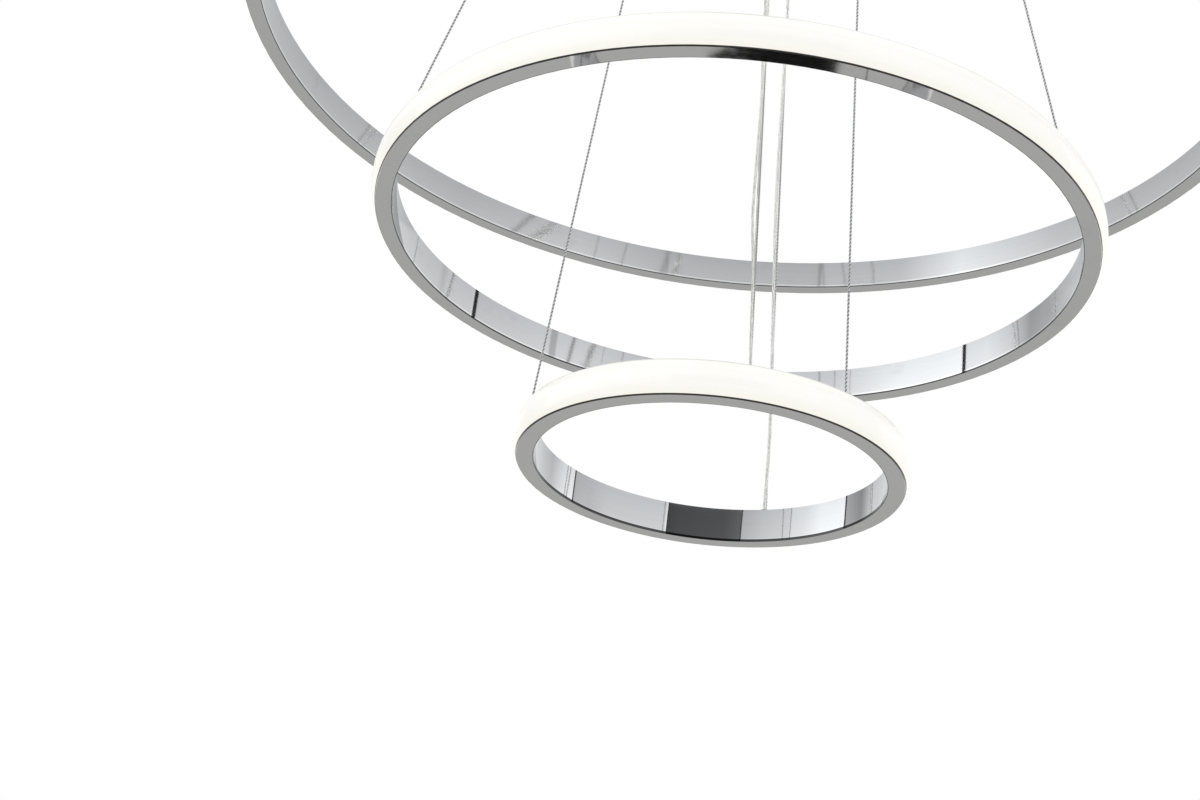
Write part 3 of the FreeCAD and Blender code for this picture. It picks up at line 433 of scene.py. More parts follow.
@dataclass(frozen=True)
class OpalBow:
    """Lit opal plastic of a ring's light strip, softly darker towards its two edges.

    Its rises are shares of the channel's height: the painted shade in the gap where it meets the
    channel's lower flange, and the painted shade that dims the brink at its top.
    """

    name: str
    bottom: float
    chips: int
    body: Colour = (0.40, 0.396, 0.384)
    glow: Colour = (1.0, 0.99, 0.945)
    edge_glow: Colour = (1.0, 0.972, 0.855)
    # Tone of the painted shade that dims the brink at the top.
    painted_brink_shade: Colour = (0.30, 0.298, 0.292)
    # Tone of the painted shade in the gap at the foot.
    painted_gap_shade: Colour = tone(10, 10, 11)
    gap_rise: Pair = (0.040, 0.033)
    brink_rise: Pair = (0.93, 1.0)
    power: float = 0.625

    def made(self) -> Material:
        """Builds the material.

        Returns:
            The material.
        """
        recipe = Recipe(self.name)
        x, y, z = recipe.axes
        rise = (z - self.bottom) / CHANNEL_HEIGHT
        edge = ((rise - 0.55).size() * 1.9) ** 2.4
        # Painted shade: the gap at the foot is dark and gives no light.
        gap = rise.step(*self.gap_rise)
        # Painted shade: the brink at the top is dimmed, in its glow and its body.
        brink = rise.step(*self.brink_rise)
        spots = (y.turn_from(x) * float(self.chips)).wave() * 0.5 + 0.5
        clouds = recipe.noise(24.0, 3.0)
        frosting = recipe.noise(5200.0, 2.0)
        fade = edge * 0.85 + spots * 0.05 + clouds * 0.05
        lit = recipe.mixed(fade, self.glow, self.edge_glow)
        lit = recipe.mixed(brink * 0.5, lit, self.painted_brink_shade)
        body = recipe.mixed(brink, self.body, self.painted_brink_shade)
        return recipe.finish_with(
            Base_Color=recipe.mixed(gap, body, self.painted_gap_shade),
            Roughness=frosting * 0.12 + 0.30,
            Coat_Weight=0.5,
            Coat_Roughness=0.06,
            Emission_Color=recipe.mixed(gap, lit, BLACK),
            Emission_Strength=self.power,
            Normal=recipe.bump(frosting, 0.00002, 0.35),
        )


class Metal(Enum):
    """Plated and bare metals of the small hardware: light tone, dark tone, roughness."""

    NICKEL = ((206, 203, 196), (176, 172, 164), 0.14)
    STEEL = ((186, 187, 189), (142, 143, 146), 0.26)
    ZINC = ((196, 199, 202), (152, 158, 166), 0.34)
    BRASS = ((218, 186, 112), (168, 134, 70), 0.24)


@dataclass(frozen=True)
class Hardware:
    """A metal with fine turning lines and handling marks."""

    name: str
    metal: Metal
    grain: float = 1800.0
    spangle: float = 0.0

    def made(self) -> Material:
        """Builds the material.

        Returns:
            The material.
        """
        light, dark, rough = self.metal.value
        recipe = Recipe(self.name)
        x, y, z = recipe.axes
        lines = recipe.noise(1.0, 3.0, recipe.point(x * 60.0, y * 60.0, z * self.grain))
        marks = recipe.noise(220.0, 4.0, None, 0.62).step(0.45, 0.75)
        flakes = recipe.cells(420.0) * self.spangle
        return recipe.finish_with(
            Base_Color=recipe.mixed(marks * 0.55 + flakes, tone(*light), tone(*dark)),
            Metallic=1.0,
            Roughness=lines * 0.10 + marks * 0.12 + flakes * 0.2 + rough,
            Normal=recipe.bump(lines + marks * 0.4, 0.00003, 0.6),
        )


@dataclass(frozen=True)
class RopeSteel:
    """Drawn stainless wire of the suspension ropes, with painted shade down between the strands."""

    name: str = "rope_steel"
    crown: Colour = tone(238, 238, 239)
    # Tone of the painted shade deep in the grooves.
    groove: Colour = tone(44, 44, 46)

    def made(self) -> Material:
        """Builds the material.

        Returns:
            The material.
        """
        recipe = Recipe(self.name)
        groove = recipe.painted("groove")
        fleck = recipe.noise(2400.0, 3.0)
        return recipe.finish_with(
            # Painted shade: the grooves between the strands darken with their depth.
            Base_Color=recipe.mixed(groove * 0.9 + fleck * 0.1, self.crown, self.groove),
            Metallic=1.0,
            Roughness=fleck * 0.14 + groove * 0.2 + 0.24,
            Normal=recipe.bump(fleck, 0.00002, 0.4),
        )


@dataclass(frozen=True)
class ClearSheath:
    """Clear soft plastic of the power cables, faintly green, with drawing lines."""

    name: str = "clear_sheath"
    clear: Colour = (0.985, 0.985, 0.975)
    cloudy: Colour = (0.95, 0.953, 0.935)

    def made(self) -> Material:
        """Builds the material.

        Returns:
            The material.
        """
        recipe = Recipe(self.name)
        cloud = recipe.noise(60.0, 3.0)
        drawn = recipe.noise(900.0, 2.0)
        return recipe.finish_with(
            Base_Color=recipe.mixed(cloud, self.clear, self.cloudy),
            Roughness=drawn * 0.10 + 0.12,
            IOR=1.34,
            Transmission_Weight=0.8,
            Normal=recipe.bump(drawn, 0.00003, 0.3),
        )


@dataclass(frozen=True)
class TinnedStrand:
    """Tinned copper cores inside the clear sheath, stranded along their length."""

    name: str = "tinned_strand"
    tin: Colour = tone(247, 247, 244)
    dull: Colour = tone(212, 213, 208)

    def made(self) -> Material:
        """Builds the material.

        Returns:
            The material.
        """
        recipe = Recipe(self.name)
        x, y, z = recipe.axes
        lay = (z * 2200.0 + x * 3000.0 + y * 3000.0).wave() * 0.5 + 0.5
        fleck = recipe.noise(1500.0, 2.0)
        return recipe.finish_with(
            Base_Color=recipe.mixed(lay * 0.6 + fleck * 0.3, self.tin, self.dull),
            Metallic=1.0,
            Roughness=fleck * 0.15 + 0.28,
            Normal=recipe.bump(lay, 0.00004, 0.5),
        )


class Plastic(Enum):
    """Moulded plastics: body tone, second tone, roughness, grain per metre."""

    WHITE_HOUSING = ((228, 227, 221), (212, 210, 202), 0.42, 3200.0)
    CIRCUIT_GREEN = ((38, 92, 62), (26, 70, 48), 0.30, 5200.0)
    STRIP_WHITE = ((236, 234, 226), (214, 205, 170), 0.38, 4200.0)


@dataclass(frozen=True)
class Moulded:
    """A plastic with a fine moulded grain, cloudiness and a little dust."""

    name: str
    plastic: Plastic

    def made(self) -> Material:
        """Builds the material.

        Returns:
            The material.
        """
        body, second, rough, grain = self.plastic.value
        recipe = Recipe(self.name)
        clouds = recipe.noise(90.0, 4.0)
        pebbles = recipe.cells(grain)
        dust = recipe.noise(600.0, 4.0, None, 0.65).step(0.56, 0.7)
        return recipe.finish_with(
            Base_Color=recipe.mixed(clouds * 0.5 + dust * 0.3, tone(*body), tone(*second)),
            Roughness=clouds * 0.08 + dust * 0.16 + rough,
            Normal=recipe.bump(pebbles + dust * 0.3, 0.00003, 0.5),
        )


@dataclass(frozen=True)
class StudioPaint:
    """Matt pale paint of the studio floor."""

    name: str = "studio_paint"
    shade: Colour = (0.70, 0.685, 0.655)
    patch: float = 0.97

    def made(self) -> Material:
        """Builds the material.

        Returns:
            The material.
        """
        recipe = Recipe(self.name)
        clouds = recipe.noise(1.6, 4.0)
        patches = tuple(part * self.patch for part in self.shade)
        return recipe.finish_with(
            Base_Color=recipe.mixed(clouds, self.shade, patches),
            Roughness=0.9,
        )


class FinishKit:
    """Finishes that several sub-assemblies share."""

    def __init__(self) -> None:
        """Builds each finish once."""
        self.spun = SpunChrome().made()
        self.nickel = Hardware("bright_nickel", Metal.NICKEL).made()
        self.steel = Hardware("turned_steel", Metal.STEEL).made()
        self.zinc = Hardware("zinc_plate", Metal.ZINC, grain=300.0, spangle=0.5).made()
        self.brass = Hardware("turned_brass", Metal.BRASS).made()
        self.housing = Moulded("white_housing", Plastic.WHITE_HOUSING).made()
        self.board = Moulded("circuit_board", Plastic.CIRCUIT_GREEN).made()
        self.strip = Moulded("strip_white", Plastic.STRIP_WHITE).made()
        self.rope = RopeSteel().made()
        self.sheath = ClearSheath().made()
        self.cores = TinnedStrand().made()

    @staticmethod
    def dress(node: str, material: Material, slot: str) -> None:
        """Gives a CAD solid its material.

        Args:
            node: The solid's node name.
            material: The finish.
            slot: The record's slot that the finish belongs to; not used.
        """
        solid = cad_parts[node]
        solid.data.materials.clear()
        solid.data.materials.append(material)


# ---- meshes
def in_scene(item: Piece) -> Piece:
    """Links an object to the scene."""
    bpy.context.scene.collection.objects.link(item)
    return item


def new_piece(
    name: str,
    points: np.ndarray,
    faces: Sequence[Sequence[int]],
    materials: Sequence[Material],
) -> Piece:
    """Makes a smooth-shaded mesh piece.

    Args:
        name: The piece's name.
        points: Vertices in the CAD frame.
        faces: Vertex numbers of each face.
        materials: Its material slots.

    Returns:
        The piece, linked to the scene.
    """
    mesh = bpy.data.meshes.new(name)
    mesh.from_pydata(points.tolist(), [], faces)
    mesh.shade_smooth()
    for material in materials:
        mesh.materials.append(material)
    return in_scene(bpy.data.objects.new(name, mesh))


def paint_points(piece: Piece, name: str, values: np.ndarray) -> None:
    """Stores a value at each point of a piece, for its material to read.

    Args:
        piece: The piece.
        name: Name that the material reads the values by.
        values: One value for each point.
    """
    layer = piece.data.attributes.new(name, "FLOAT", "POINT")
    layer.data.foreach_set("value", values.astype(np.float32))


def run_along(path: np.ndarray) -> np.ndarray:
    """Distance of each point of a path from its start, along it."""
    gaps = np.linalg.norm(np.diff(path, axis=0), axis=1)
    return np.concatenate(([0.0], np.cumsum(gaps)))


def spline_points(name: str, controls: Sequence[Point], spacing: float) -> np.ndarray:
    """Evenly spaced points on the smooth spline of a route.

    Args:
        name: Name of the short-lived curve.
        controls: The route's points, which are the spline's control points.
        spacing: Distance between the points returned.

    Returns:
        The points, one per row.
    """
    curve = bpy.data.curves.new(name, "CURVE")
    curve.dimensions = "3D"
    spline = curve.splines.new("NURBS")
    spline.points.add(len(controls) - 1)
    for point, control in zip(spline.points, controls):
        point.co = (*control, 1.0)
    spline.order_u = 3
    spline.use_endpoint_u = True
    spline.resolution_u = SPLINE_STEPS
    holder = in_scene(bpy.data.objects.new(name, curve))
    bpy.context.view_layer.update()
    line = bpy.data.meshes.new_from_object(holder)
    path = np.array([vertex.co for vertex in line.vertices])
    bpy.data.objects.remove(holder)
    bpy.data.curves.remove(curve)
    bpy.data.meshes.remove(line)
    path = path[np.concatenate(([True], np.diff(run_along(path)) > SAME_PLACE))]
    run = run_along(path)
    stations = np.linspace(0.0, run[-1], max(3, round(run[-1] / spacing) + 1))
    return np.column_stack([np.interp(stations, run, path[:, axis]) for axis in range(3)])


def side_frames(path: np.ndarray) -> tuple[np.ndarray, np.ndarray]:
    """Two unit vectors across a path at each point, carried along without twist.

    Args:
        path: Points along the path.

    Returns:
        The first and the second vector of each point.
    """
    along = np.gradient(path, axis=0)
    along /= np.linalg.norm(along, axis=1)[:, None]
    first = np.zeros_like(path)
    across = np.array((1.0, 0.0, 0.0))
    for index, heading in enumerate(along):
        across = across - heading * across.dot(heading)
        across /= np.linalg.norm(across)
        first[index] = across
    return first, np.cross(along, first)


def swept(
    path: np.ndarray, section: np.ndarray, twist: float = 0.0, start: int = 0
) -> tuple[np.ndarray, list[list[int]]]:
    """Tube of one cross-section along a path, closed at both ends.

    Args:
        path: Points along the path.
        section: Points of the cross-section.
        twist: Turn of the section per metre, in radians.
        start: Number of the tube's first vertex in its mesh.

    Returns:
        Vertices and faces.
    """
    first, second = side_frames(path)
    turn = run_along(path) * twist
    cosine, sine = np.cos(turn)[:, None], np.sin(turn)[:, None]
    x, y = section.T[:, None, :]
    rings = path[:, None, :] + (x * cosine - y * sine)[:, :, None] * first[:, None, :]
    rings = rings + (x * sine + y * cosine)[:, :, None] * second[:, None, :]
    return rings.reshape(-1, 3), tube_faces(len(path), len(section), start)


def tube_faces(count: int, sides: int, start: int = 0) -> list[list[int]]:
    """Faces of a closed tube.

    Args:
        count: Number of its rings.
        sides: Points in a ring.
        start: Number of its first vertex.

    Returns:
        Vertex numbers of each face.
    """
    last = start + (count - 1) * sides
    steps = [(side, (side + 1) % sides) for side in range(sides)]
    faces = [
        [low + side, low + beside, low + sides + beside, low + sides + side]
        for low in range(start, last, sides)
        for side, beside in steps
    ]
    return [*faces, list(range(start, start + sides))[::-1], list(range(last, last + sides))]


def round_section(radius: float, sides: int, offset: float = 0.0) -> np.ndarray:
    """Points of a circle.

    Args:
        radius: The circle's radius.
        sides: Number of points.
        offset: Distance of its middle from the path.

    Returns:
        The points, one per row.
    """
    turn = np.linspace(0.0, 2 * math.pi, sides, endpoint=False)
    return np.column_stack((offset + radius * np.cos(turn), radius * np.sin(turn)))


# ---- sub-assemblies
class Side(Enum):
    """The three wires of a ring, by their turn from the far one in degrees."""

    LEFT = 120.0
    RIGHT = 240.0
    FAR = 0.0

    @property
    def label(self) -> str:
        """Name used in nodes and pieces."""
        return self.name.lower()


@dataclass(frozen=True)
class RingPlan:
    """Sizes and places of one ring, its wires and its cable.

    The drop is from the ceiling to the channel's bottom.  The azimuths, in degrees from +X, are the
    far wire's at the ring and under the canopy.  The lower wire is the height over the ring where
    the two pieces of a near wire meet, and the arris is the height of the painted shade line at the
    inner wall's foot.
    """

    name: str
    radius: float
    drop: float
    azimuth: float
    canopy_azimuth: float
    canopy_radius: float
    chips: int
    lower_wire: float
    painted_arris_shade: float
    cable: tuple[Point, ...]
    cable_length: float

    @property
    def wire_foot(self) -> float:
        """Height of the wires' lower ends."""
        return CHANNEL_HEIGHT - STOP_DROP - self.drop


def on_circle(radius: float, azimuth: float, height: float) -> Point:
    """Point at an azimuth in degrees, counted from +X."""
    turn = math.radians(azimuth)
    return (radius * math.cos(turn), radius * math.sin(turn), height)


@dataclass
class Ring:
    """A ring: channel, light strip, bushes and ball stops, all CAD solids with finishes."""

    plan: RingPlan
    kit: FinishKit

    def dress(self) -> None:
        """Gives the ring's solids their materials."""
        kit, plan = self.kit, self.plan
        chrome = RingChrome(f"{plan.name}_chrome", plan.radius, -plan.drop, plan.painted_arris_shade).made()
        opal = OpalBow(f"{plan.name}_opal", -plan.drop, plan.chips).made()
        kit.dress(f"{plan.name}_frame", chrome, "polished_chrome")
        kit.dress(f"{plan.name}_diffuser", opal, "opal_diffuser")
        kit.dress(f"{plan.name}_led_strip", kit.strip, "led_strip")
        for node in ("near_bushes", "far_bush"):
            kit.dress(f"{plan.name}_{node}", kit.nickel, "nickel_fittings")
        for node in ("near_stops", "far_stop"):
            kit.dress(f"{plan.name}_{node}", kit.steel, "steel_hardware")
        REPORT.info("%s ring dressed, radius %.3f m", plan.name, plan.radius)


@dataclass
class WireSet:
    """The three stranded steel wires of a ring."""

    plan: RingPlan
    kit: FinishKit
    radius: float = 0.00068
    strands: int = 2
    lay: float = 0.0046
    points_per_strand: int = 6
    waist: float = 0.52
    spacing: float = 0.00036
    corner_lead: float = 0.0072

    def section(self) -> tuple[np.ndarray, np.ndarray]:
        """Cross-section of the rope.

        Returns:
            Its points, and how deep in a groove each lies from 0 to 1.
        """
        count = self.strands * self.points_per_strand
        turn = np.linspace(0.0, 2 * math.pi, count, endpoint=False)
        crown = np.abs(np.cos(turn * self.strands / 2))
        reach = self.radius * (self.waist + (1 - self.waist) * crown)
        return np.column_stack((reach * np.cos(turn), reach * np.sin(turn))), 1.0 - crown

    def route(self) -> list[Point]:
        """The far wire's route: down through its gripper, round the nozzle, straight to the ring.

        Returns:
            The route's points.
        """
        plan = self.plan
        kink = np.array(on_circle(plan.canopy_radius, plan.canopy_azimuth, WIRE_KINK))
        foot = np.array(on_circle(plan.radius - WIRE_INSET, plan.azimuth, plan.wire_foot))
        heading = (foot - kink) / np.linalg.norm(foot - kink)
        lead = kink + heading * self.corner_lead
        above = kink + (0.0, 0.0, self.corner_lead)
        top = (kink[0], kink[1], WIRE_TOP)
        return [top, tuple(above), tuple(kink), tuple(lead), tuple(foot)]

    def build(self) -> None:
        """Makes the wires' meshes, and ties the far wire and the near wires' upper pieces to the
        canopy.
        """
        path = spline_points(f"{self.plan.name}_wire_route", self.route(), self.spacing)
        section, groove = self.section()
        twist = 2 * math.pi / self.lay
        points, _ = swept(path, section, twist)
        rings = points.reshape(len(path), len(section), 3)
        for side in Side:
            turn = np.array(Matrix.Rotation(math.radians(side.value), 3, "Z"))
            turned = rings @ turn.T
            name = f"{self.plan.name}_{side.label}_wire"
            if side is Side.FAR:
                piece = self._piece(f"{name}_rope", turned, groove)
                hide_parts(name)
                self._follow_height(piece)
            else:
                self._in_two(name, turned, path @ turn.T, groove)
        REPORT.info("%s wires built, %.4f m each", self.plan.name, run_along(path)[-1])

    def _piece(self, name: str, rings: np.ndarray, groove: np.ndarray) -> Piece:
        """Makes one length of rope.

        Args:
            name: The piece's name.
            rings: Points of each cross-section.
            groove: Groove depth of each point of a section.

        Returns:
            The piece.
        """
        count, sides, _ = rings.shape
        piece = new_piece(name, rings.reshape(-1, 3), tube_faces(count, sides), [self.kit.rope])
        paint_points(piece, "groove", np.tile(groove, count))
        return piece

    def _follow_height(self, piece: Piece) -> None:
        """Ties a piece to the canopy, with a mesh of its own.

        Args:
            piece: The piece.
        """
        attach(piece, "canopy")
        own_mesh(piece)

    def _in_two(self, name: str, rings: np.ndarray, path: np.ndarray, groove: np.ndarray) -> None:
        """Makes a near wire as an upper piece tied to the canopy and a lower piece that stays put.

        Args:
            name: The wire's node.
            rings: Points of each cross-section.
            path: The wire's centre line.
            groove: Groove depth of each point of a section.
        """
        plan = self.plan
        cut = int(np.argmin(np.abs(path[:, 2] - (plan.wire_foot + plan.lower_wire))))
        upper = self._piece(f"{name}_upper_rope", rings[: cut + 1], groove)
        lower = self._piece(f"{name}_lower_rope", rings[cut:], groove)
        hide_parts(name)
        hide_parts(name)
        self._follow_height(upper)
        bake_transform(lower)


@dataclass
class ClearCable:
    """Clear twin-core cable: soft sheath over two tinned cores that turn round each other."""

    name: str
    controls: Sequence[Point]
    kit: FinishKit
    radius: float = 0.00095
    sides: int = 16
    core_radius: float = 0.00034
    core_offset: float = 0.0003672
    core_sides: int = 8
    core_lay: float = 0.034
    spacing: float = 0.0022
    path: np.ndarray = field(init=False)

    def mesh(self) -> Piece:
        """Builds the cable's mesh.

        Returns:
            The piece, with the sheath and the cores as its two materials.
        """
        self.path = spline_points(f"{self.name}_route", self.controls, self.spacing)
        points, faces = swept(self.path, round_section(self.radius, self.sides))
        outer = len(faces)
        for side in (1, -1):
            section = round_section(self.core_radius, self.core_sides, side * self.core_offset)
            more, extra = swept(self.path, section, 2 * math.pi / self.core_lay, len(points))
            points = np.vstack((points, more))
            faces += extra
        piece = new_piece(self.name, points, faces, [self.kit.sheath, self.kit.cores])
        slots = np.ones(len(faces), np.int32)
        slots[:outer] = 0
        piece.data.polygons.foreach_set("material_index", slots)
        return piece


@dataclass
class PowerCable:
    """A ring's clear power cable, from its gland to the bush in the channel."""

    plan: RingPlan
    kit: FinishKit

    def build(self) -> None:
        """Makes the cable and ties it to the canopy."""
        plan = self.plan
        cable = ClearCable(f"{plan.name}_clear_cable", plan.cable, self.kit)
        piece = cable.mesh()
        top, foot = cable.path[0], cable.path[-1]
        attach(piece, "canopy")
        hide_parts(f"{plan.name}_power_cable")
        2 * cable.radius
        1.0 - HEIGHT_TRAVEL / float(top[2] - foot[2])
        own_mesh(piece)
        REPORT.info("%s power cable built, %.3f m", plan.name, plan.cable_length)


@dataclass
class Springs:
    """Coil springs that push the release plungers out of their grippers."""

    plans: Sequence[RingPlan]
    kit: FinishKit
    coils: float = 5.5
    wire: float = 0.00022
    wire_sides: int = 8
    mean_radius: float = 0.00205
    steps: int = 14

    def build(self) -> None:
        """Makes the nine springs, each at its gripper."""
        low, high = (corner.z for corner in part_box("gripper_springs"))
        bottom, top = low + self.wire, high - self.wire
        count = int(self.coils * self.steps)
        turn = np.linspace(0.0, 2 * math.pi * self.coils, count)
        rise = np.linspace(bottom, top, count)
        reach = self.mean_radius
        coil = np.column_stack((reach * np.cos(turn), reach * np.sin(turn), rise))
        for plan in self.plans:
            for side in Side:
                middle = on_circle(plan.canopy_radius, plan.canopy_azimuth + side.value, 0.0)
                points, faces = swept(coil + middle, round_section(self.wire, self.wire_sides))
                name = f"{plan.name}_{side.label}_spring"
                spring = new_piece(name, points, faces, [self.kit.steel])
                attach(spring, "canopy")
                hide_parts("gripper_springs")
                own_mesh(spring)
        REPORT.info("springs built, %.4f m high", high - low)


@dataclass
class Canopy:
    """Ceiling canopy with its bracket, driver, terminal block, grippers and leads."""

    plans: Sequence[RingPlan]
    kit: FinishKit
    lead_height: float = -0.014
    lead_start: float = 0.0144
    lead_spacing: float = 0.0008

    def dress(self) -> None:
        """Gives the canopy's solids their materials."""
        kit = self.kit
        plungers = [f"{plan.name}_{side.label}_plunger" for plan in self.plans for side in Side]
        grippers = ["gripper_bodies", "gripper_caps", "gripper_nuts", *plungers]
        housings = ["driver_case", "driver_lid", "terminal_block", "cable_glands"]
        for material, slot, nodes in (
            (kit.zinc, "zinc_steel", ["mounting_bracket"]),
            (kit.spun, "polished_chrome", ["canopy_cover"]),
            (kit.nickel, "nickel_fittings", ["side_screws", *grippers]),
            (kit.steel, "steel_hardware", ["driver_screws"]),
            (kit.brass, "brass_hardware", ["earth_screw", "terminal_screws"]),
            (kit.housing, "white_housing", housings),
            (kit.board, "circuit_board", ["driver_board"]),
        ):
            for node in nodes:
                kit.dress(node, material, slot)
            REPORT.info("canopy, %s: %s", slot, ", ".join(nodes))

    def build_leads(self) -> None:
        """Makes the leads that run from the driver's output block to the glands."""
        for plan in self.plans:
            x, y, gland = plan.cable[0]
            level = self.lead_height
            route = [(x, self.lead_start, level), (x, y, level), (x, y, gland)]
            name = f"{plan.name}_clear_lead"
            lead = ClearCable(name, route, self.kit, spacing=self.lead_spacing).mesh()
            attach(lead, "canopy")
            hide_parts("output_leads")
        REPORT.info("leads built")


# ---- studio
@dataclass(frozen=True)
class PanelBand:
    """A band of panels round the set that the chrome reflects, brighter and darker by azimuth."""

    name: str
    heights: Pair
    stops: tuple[Pair, ...]
    reach: float = 4.0
    column: float = 3.0

    def levels(self) -> tuple[np.ndarray, np.ndarray]:
        """Azimuths of the band's columns and the brightness at each.

        Returns:
            Azimuths in degrees and brightness, where 1 is white.
        """
        turns, tones = np.array(self.stops).T
        between = np.arange(turns[0], turns[-1], self.column)
        columns = np.unique(np.concatenate((turns, between)))
        return columns, np.interp(columns, turns, tones)


def seam(azimuth: float, before: float, after: float, width: float) -> tuple[Pair, ...]:
    """Stops of a dark gap between two panels.

    Args:
        azimuth: Middle of the gap, in degrees.
        before: Brightness of the panel before it.
        after: Brightness of the panel after it.
        width: Width of the gap, in degrees.

    Returns:
        Four stops.
    """
    low, high = azimuth - width / 2, azimuth + width / 2
    dark = ((low, SEAM_LEVEL), (high, SEAM_LEVEL))
    return ((low - SEAM_EDGE, before), *dark, (high + SEAM_EDGE, after))


@dataclass(frozen=True)
class Lamp:
    """A soft round lamp that lights the set and stays out of the gloss."""

    name: str
    place: Point
    watts: float
    width: float

    def hang(self, target: Point) -> None:
        """Hangs the lamp.

        Args:
            target: The point that it shines at.
        """
        light = bpy.data.lights.new(self.name, "AREA")
        light.shape = "DISK"
        light.energy = self.watts
        light.size = self.width
        lamp = in_scene(bpy.data.objects.new(self.name, light))
        turn = (Vector(target) - Vector(self.place)).to_track_quat("-Z", "Y")
        lamp.matrix_world = Matrix.Translation(self.place) @ turn.to_matrix().to_4x4()
        lamp.visible_glossy = False
        lamp.visible_camera = False


@dataclass
class Studio:
    """Camera, lamps, pale floor, white world and the panels round the set.

    The stops of the panels are pairs of an azimuth in degrees and the brightness there.
    """

    focal_pixels: float = 2003.62
    frame_pixels: float = 1200.0
    sensor: float = 36.0
    clip: Pair = (0.02, 100.0)
    pitch: float = 24.043
    roll: float = 7.291
    spot: Point = (-0.06248, -0.98321, -1.26210)
    middle: Point = (0.0, 0.0, -0.75)
    floor_height: float = -2.45
    floor_half: float = 14.0
    sky: Colour = (0.97, 0.985, 1.0)
    sky_level: float = 0.72
    lamps: tuple[Lamp, ...] = (
        Lamp("key_lamp", (-2.2, -2.4, 0.4), 34.0, 2.4),
        Lamp("fill_lamp", (3.4, -1.6, -1.3), 24.0, 1.6),
    )
    paint: Colour = (0.99, 1.0, 1.008)
    paint_peak: float = 1.5
    bands: tuple[PanelBand, ...] = (
        PanelBand("low_panels", (-4.0, 22.5), (
            (8.6, 1.3), (20.0, 1.16), (36.0, 0.76), (60.0, 0.9), (128.0, 0.9), (142.0, 0.41),
            *seam(159.5, 0.6, 1.5, 1.4), (182.0, 1.46), (196.0, 1.2), *seam(206.0, 1.1, 1.0, 0.3),
            (225.0, 0.88), *seam(241.0, 0.7, 0.19, 0.7), (252.0, 0.13), (284.0, 0.11),
            *seam(291.6, 0.09, 1.3, 0.7), (292.8, 1.3), (293.2, 0.96), (335.0, 0.90),
            *seam(368.0, 0.70, 1.3, 1.2),
        )),
        PanelBand("middle_panels", (22.5, 28.9), (
            (9.2, 0.9), (24.0, 0.88), (27.0, 0.72), (30.0, 0.86), (46.0, 0.86), (90.0, 0.85),
            (136.0, 0.52), (148.0, 1.0), (160.0, 1.25), *seam(171.2, 1.25, 1.5, 1.6),
            (200.0, 1.42), (225.0, 1.0), (292.0, 0.9), (322.0, 1.0), (328.6, 0.96),
            (329.0, 0.64), (331.4, 0.64), (331.8, 0.98), (345.0, 0.92),
            *seam(367.4, 0.83, 0.9, 1.9),
        )),
        PanelBand("high_panels", (28.9, 60.0), (
            (8.4, 0.74), (38.0, 0.70), (80.0, 0.70), (120.0, 0.7), (160.0, 0.78), (178.0, 0.86),
            (206.0, 1.30), (222.0, 0.84), (242.6, 0.78), (243.0, 0.5), (243.4, 0.5), (243.8, 0.72),
            (285.0, 0.74), (306.0, 0.86), (318.0, 0.82), (340.0, 0.72), (368.4, 0.74),
        )),
    )
    card: tuple[Pair, ...] = (
        (0.055, 2.36), (0.146, 2.25), (0.325, 2.25), (0.31, 2.42), (0.10, 2.42),
    )
    card_lift: float = 0.01

    def camera(self) -> None:
        """Places the camera at the photograph's angle."""
        lens = bpy.data.cameras.new("studio_camera")
        lens.sensor_fit = "HORIZONTAL"
        lens.sensor_width = self.sensor
        lens.lens = self.focal_pixels / self.frame_pixels * self.sensor
        lens.clip_start, lens.clip_end = self.clip
        camera = in_scene(bpy.data.objects.new("studio_camera", lens))
        upward = Matrix.Rotation(math.radians(90.0 + self.pitch), 4, "X")
        rolled = Matrix.Rotation(math.radians(self.roll), 4, "Z")
        camera.matrix_world = Matrix.Translation(self.spot) @ upward @ rolled
        bpy.context.scene.camera = camera

    def world(self) -> None:
        """Lights the set evenly, and shows white to the camera, to gloss and through glass."""
        world = bpy.data.worlds.new("studio_world")
        bpy.context.scene.world = world
        world.use_nodes = True
        world.node_tree.nodes.clear()
        nodes = Nodes(world.node_tree)
        rays = nodes.node("ShaderNodeLightPath")
        seen = rays.outputs["Is Camera Ray"]
        for ray in ("Is Glossy Ray", "Is Transmission Ray"):
            ends = {0: seen, 1: rays.outputs[ray]}
            seen = nodes.node("ShaderNodeMath", {"operation": "MAXIMUM"}, ends).outputs[0]
        lights = (
            {"Color": self.sky, "Strength": self.sky_level}, {"Color": WHITE, "Strength": 1.0},
        )
        lit, shown = (nodes.node("ShaderNodeBackground", None, ends).outputs[0] for ends in lights)
        either = nodes.node("ShaderNodeMixShader", None, {0: seen, 1: lit, 2: shown})
        nodes.node("ShaderNodeOutputWorld", None, {"Surface": either.outputs[0]})

    def floor(self) -> None:
        """Lays the pale floor, and on it the dark card that the medium ring reflects."""
        half, height = self.floor_half, self.floor_height
        corners = [(x * half, y * half, height) for x, y in ((-1, -1), (1, -1), (1, 1), (-1, 1))]
        sheet = [list(range(len(corners)))]
        floor = new_piece("studio_floor", np.array(corners), sheet, [StudioPaint().made()])
        outline = np.array([(x, y, height + self.card_lift) for x, y in self.card])
        sheet = [list(range(len(outline)))]
        card = new_piece("floor_card", outline, sheet, [self._panel_paint("floor_card")])
        self._gloss_only(card)

    @staticmethod
    def _gloss_only(piece: Piece) -> None:
        """Makes a stage piece that only reflections show.

        Args:
            piece: The piece.
        """
        for ray in ("camera", "diffuse", "transmission", "shadow"):
            setattr(piece, f"visible_{ray}", False)

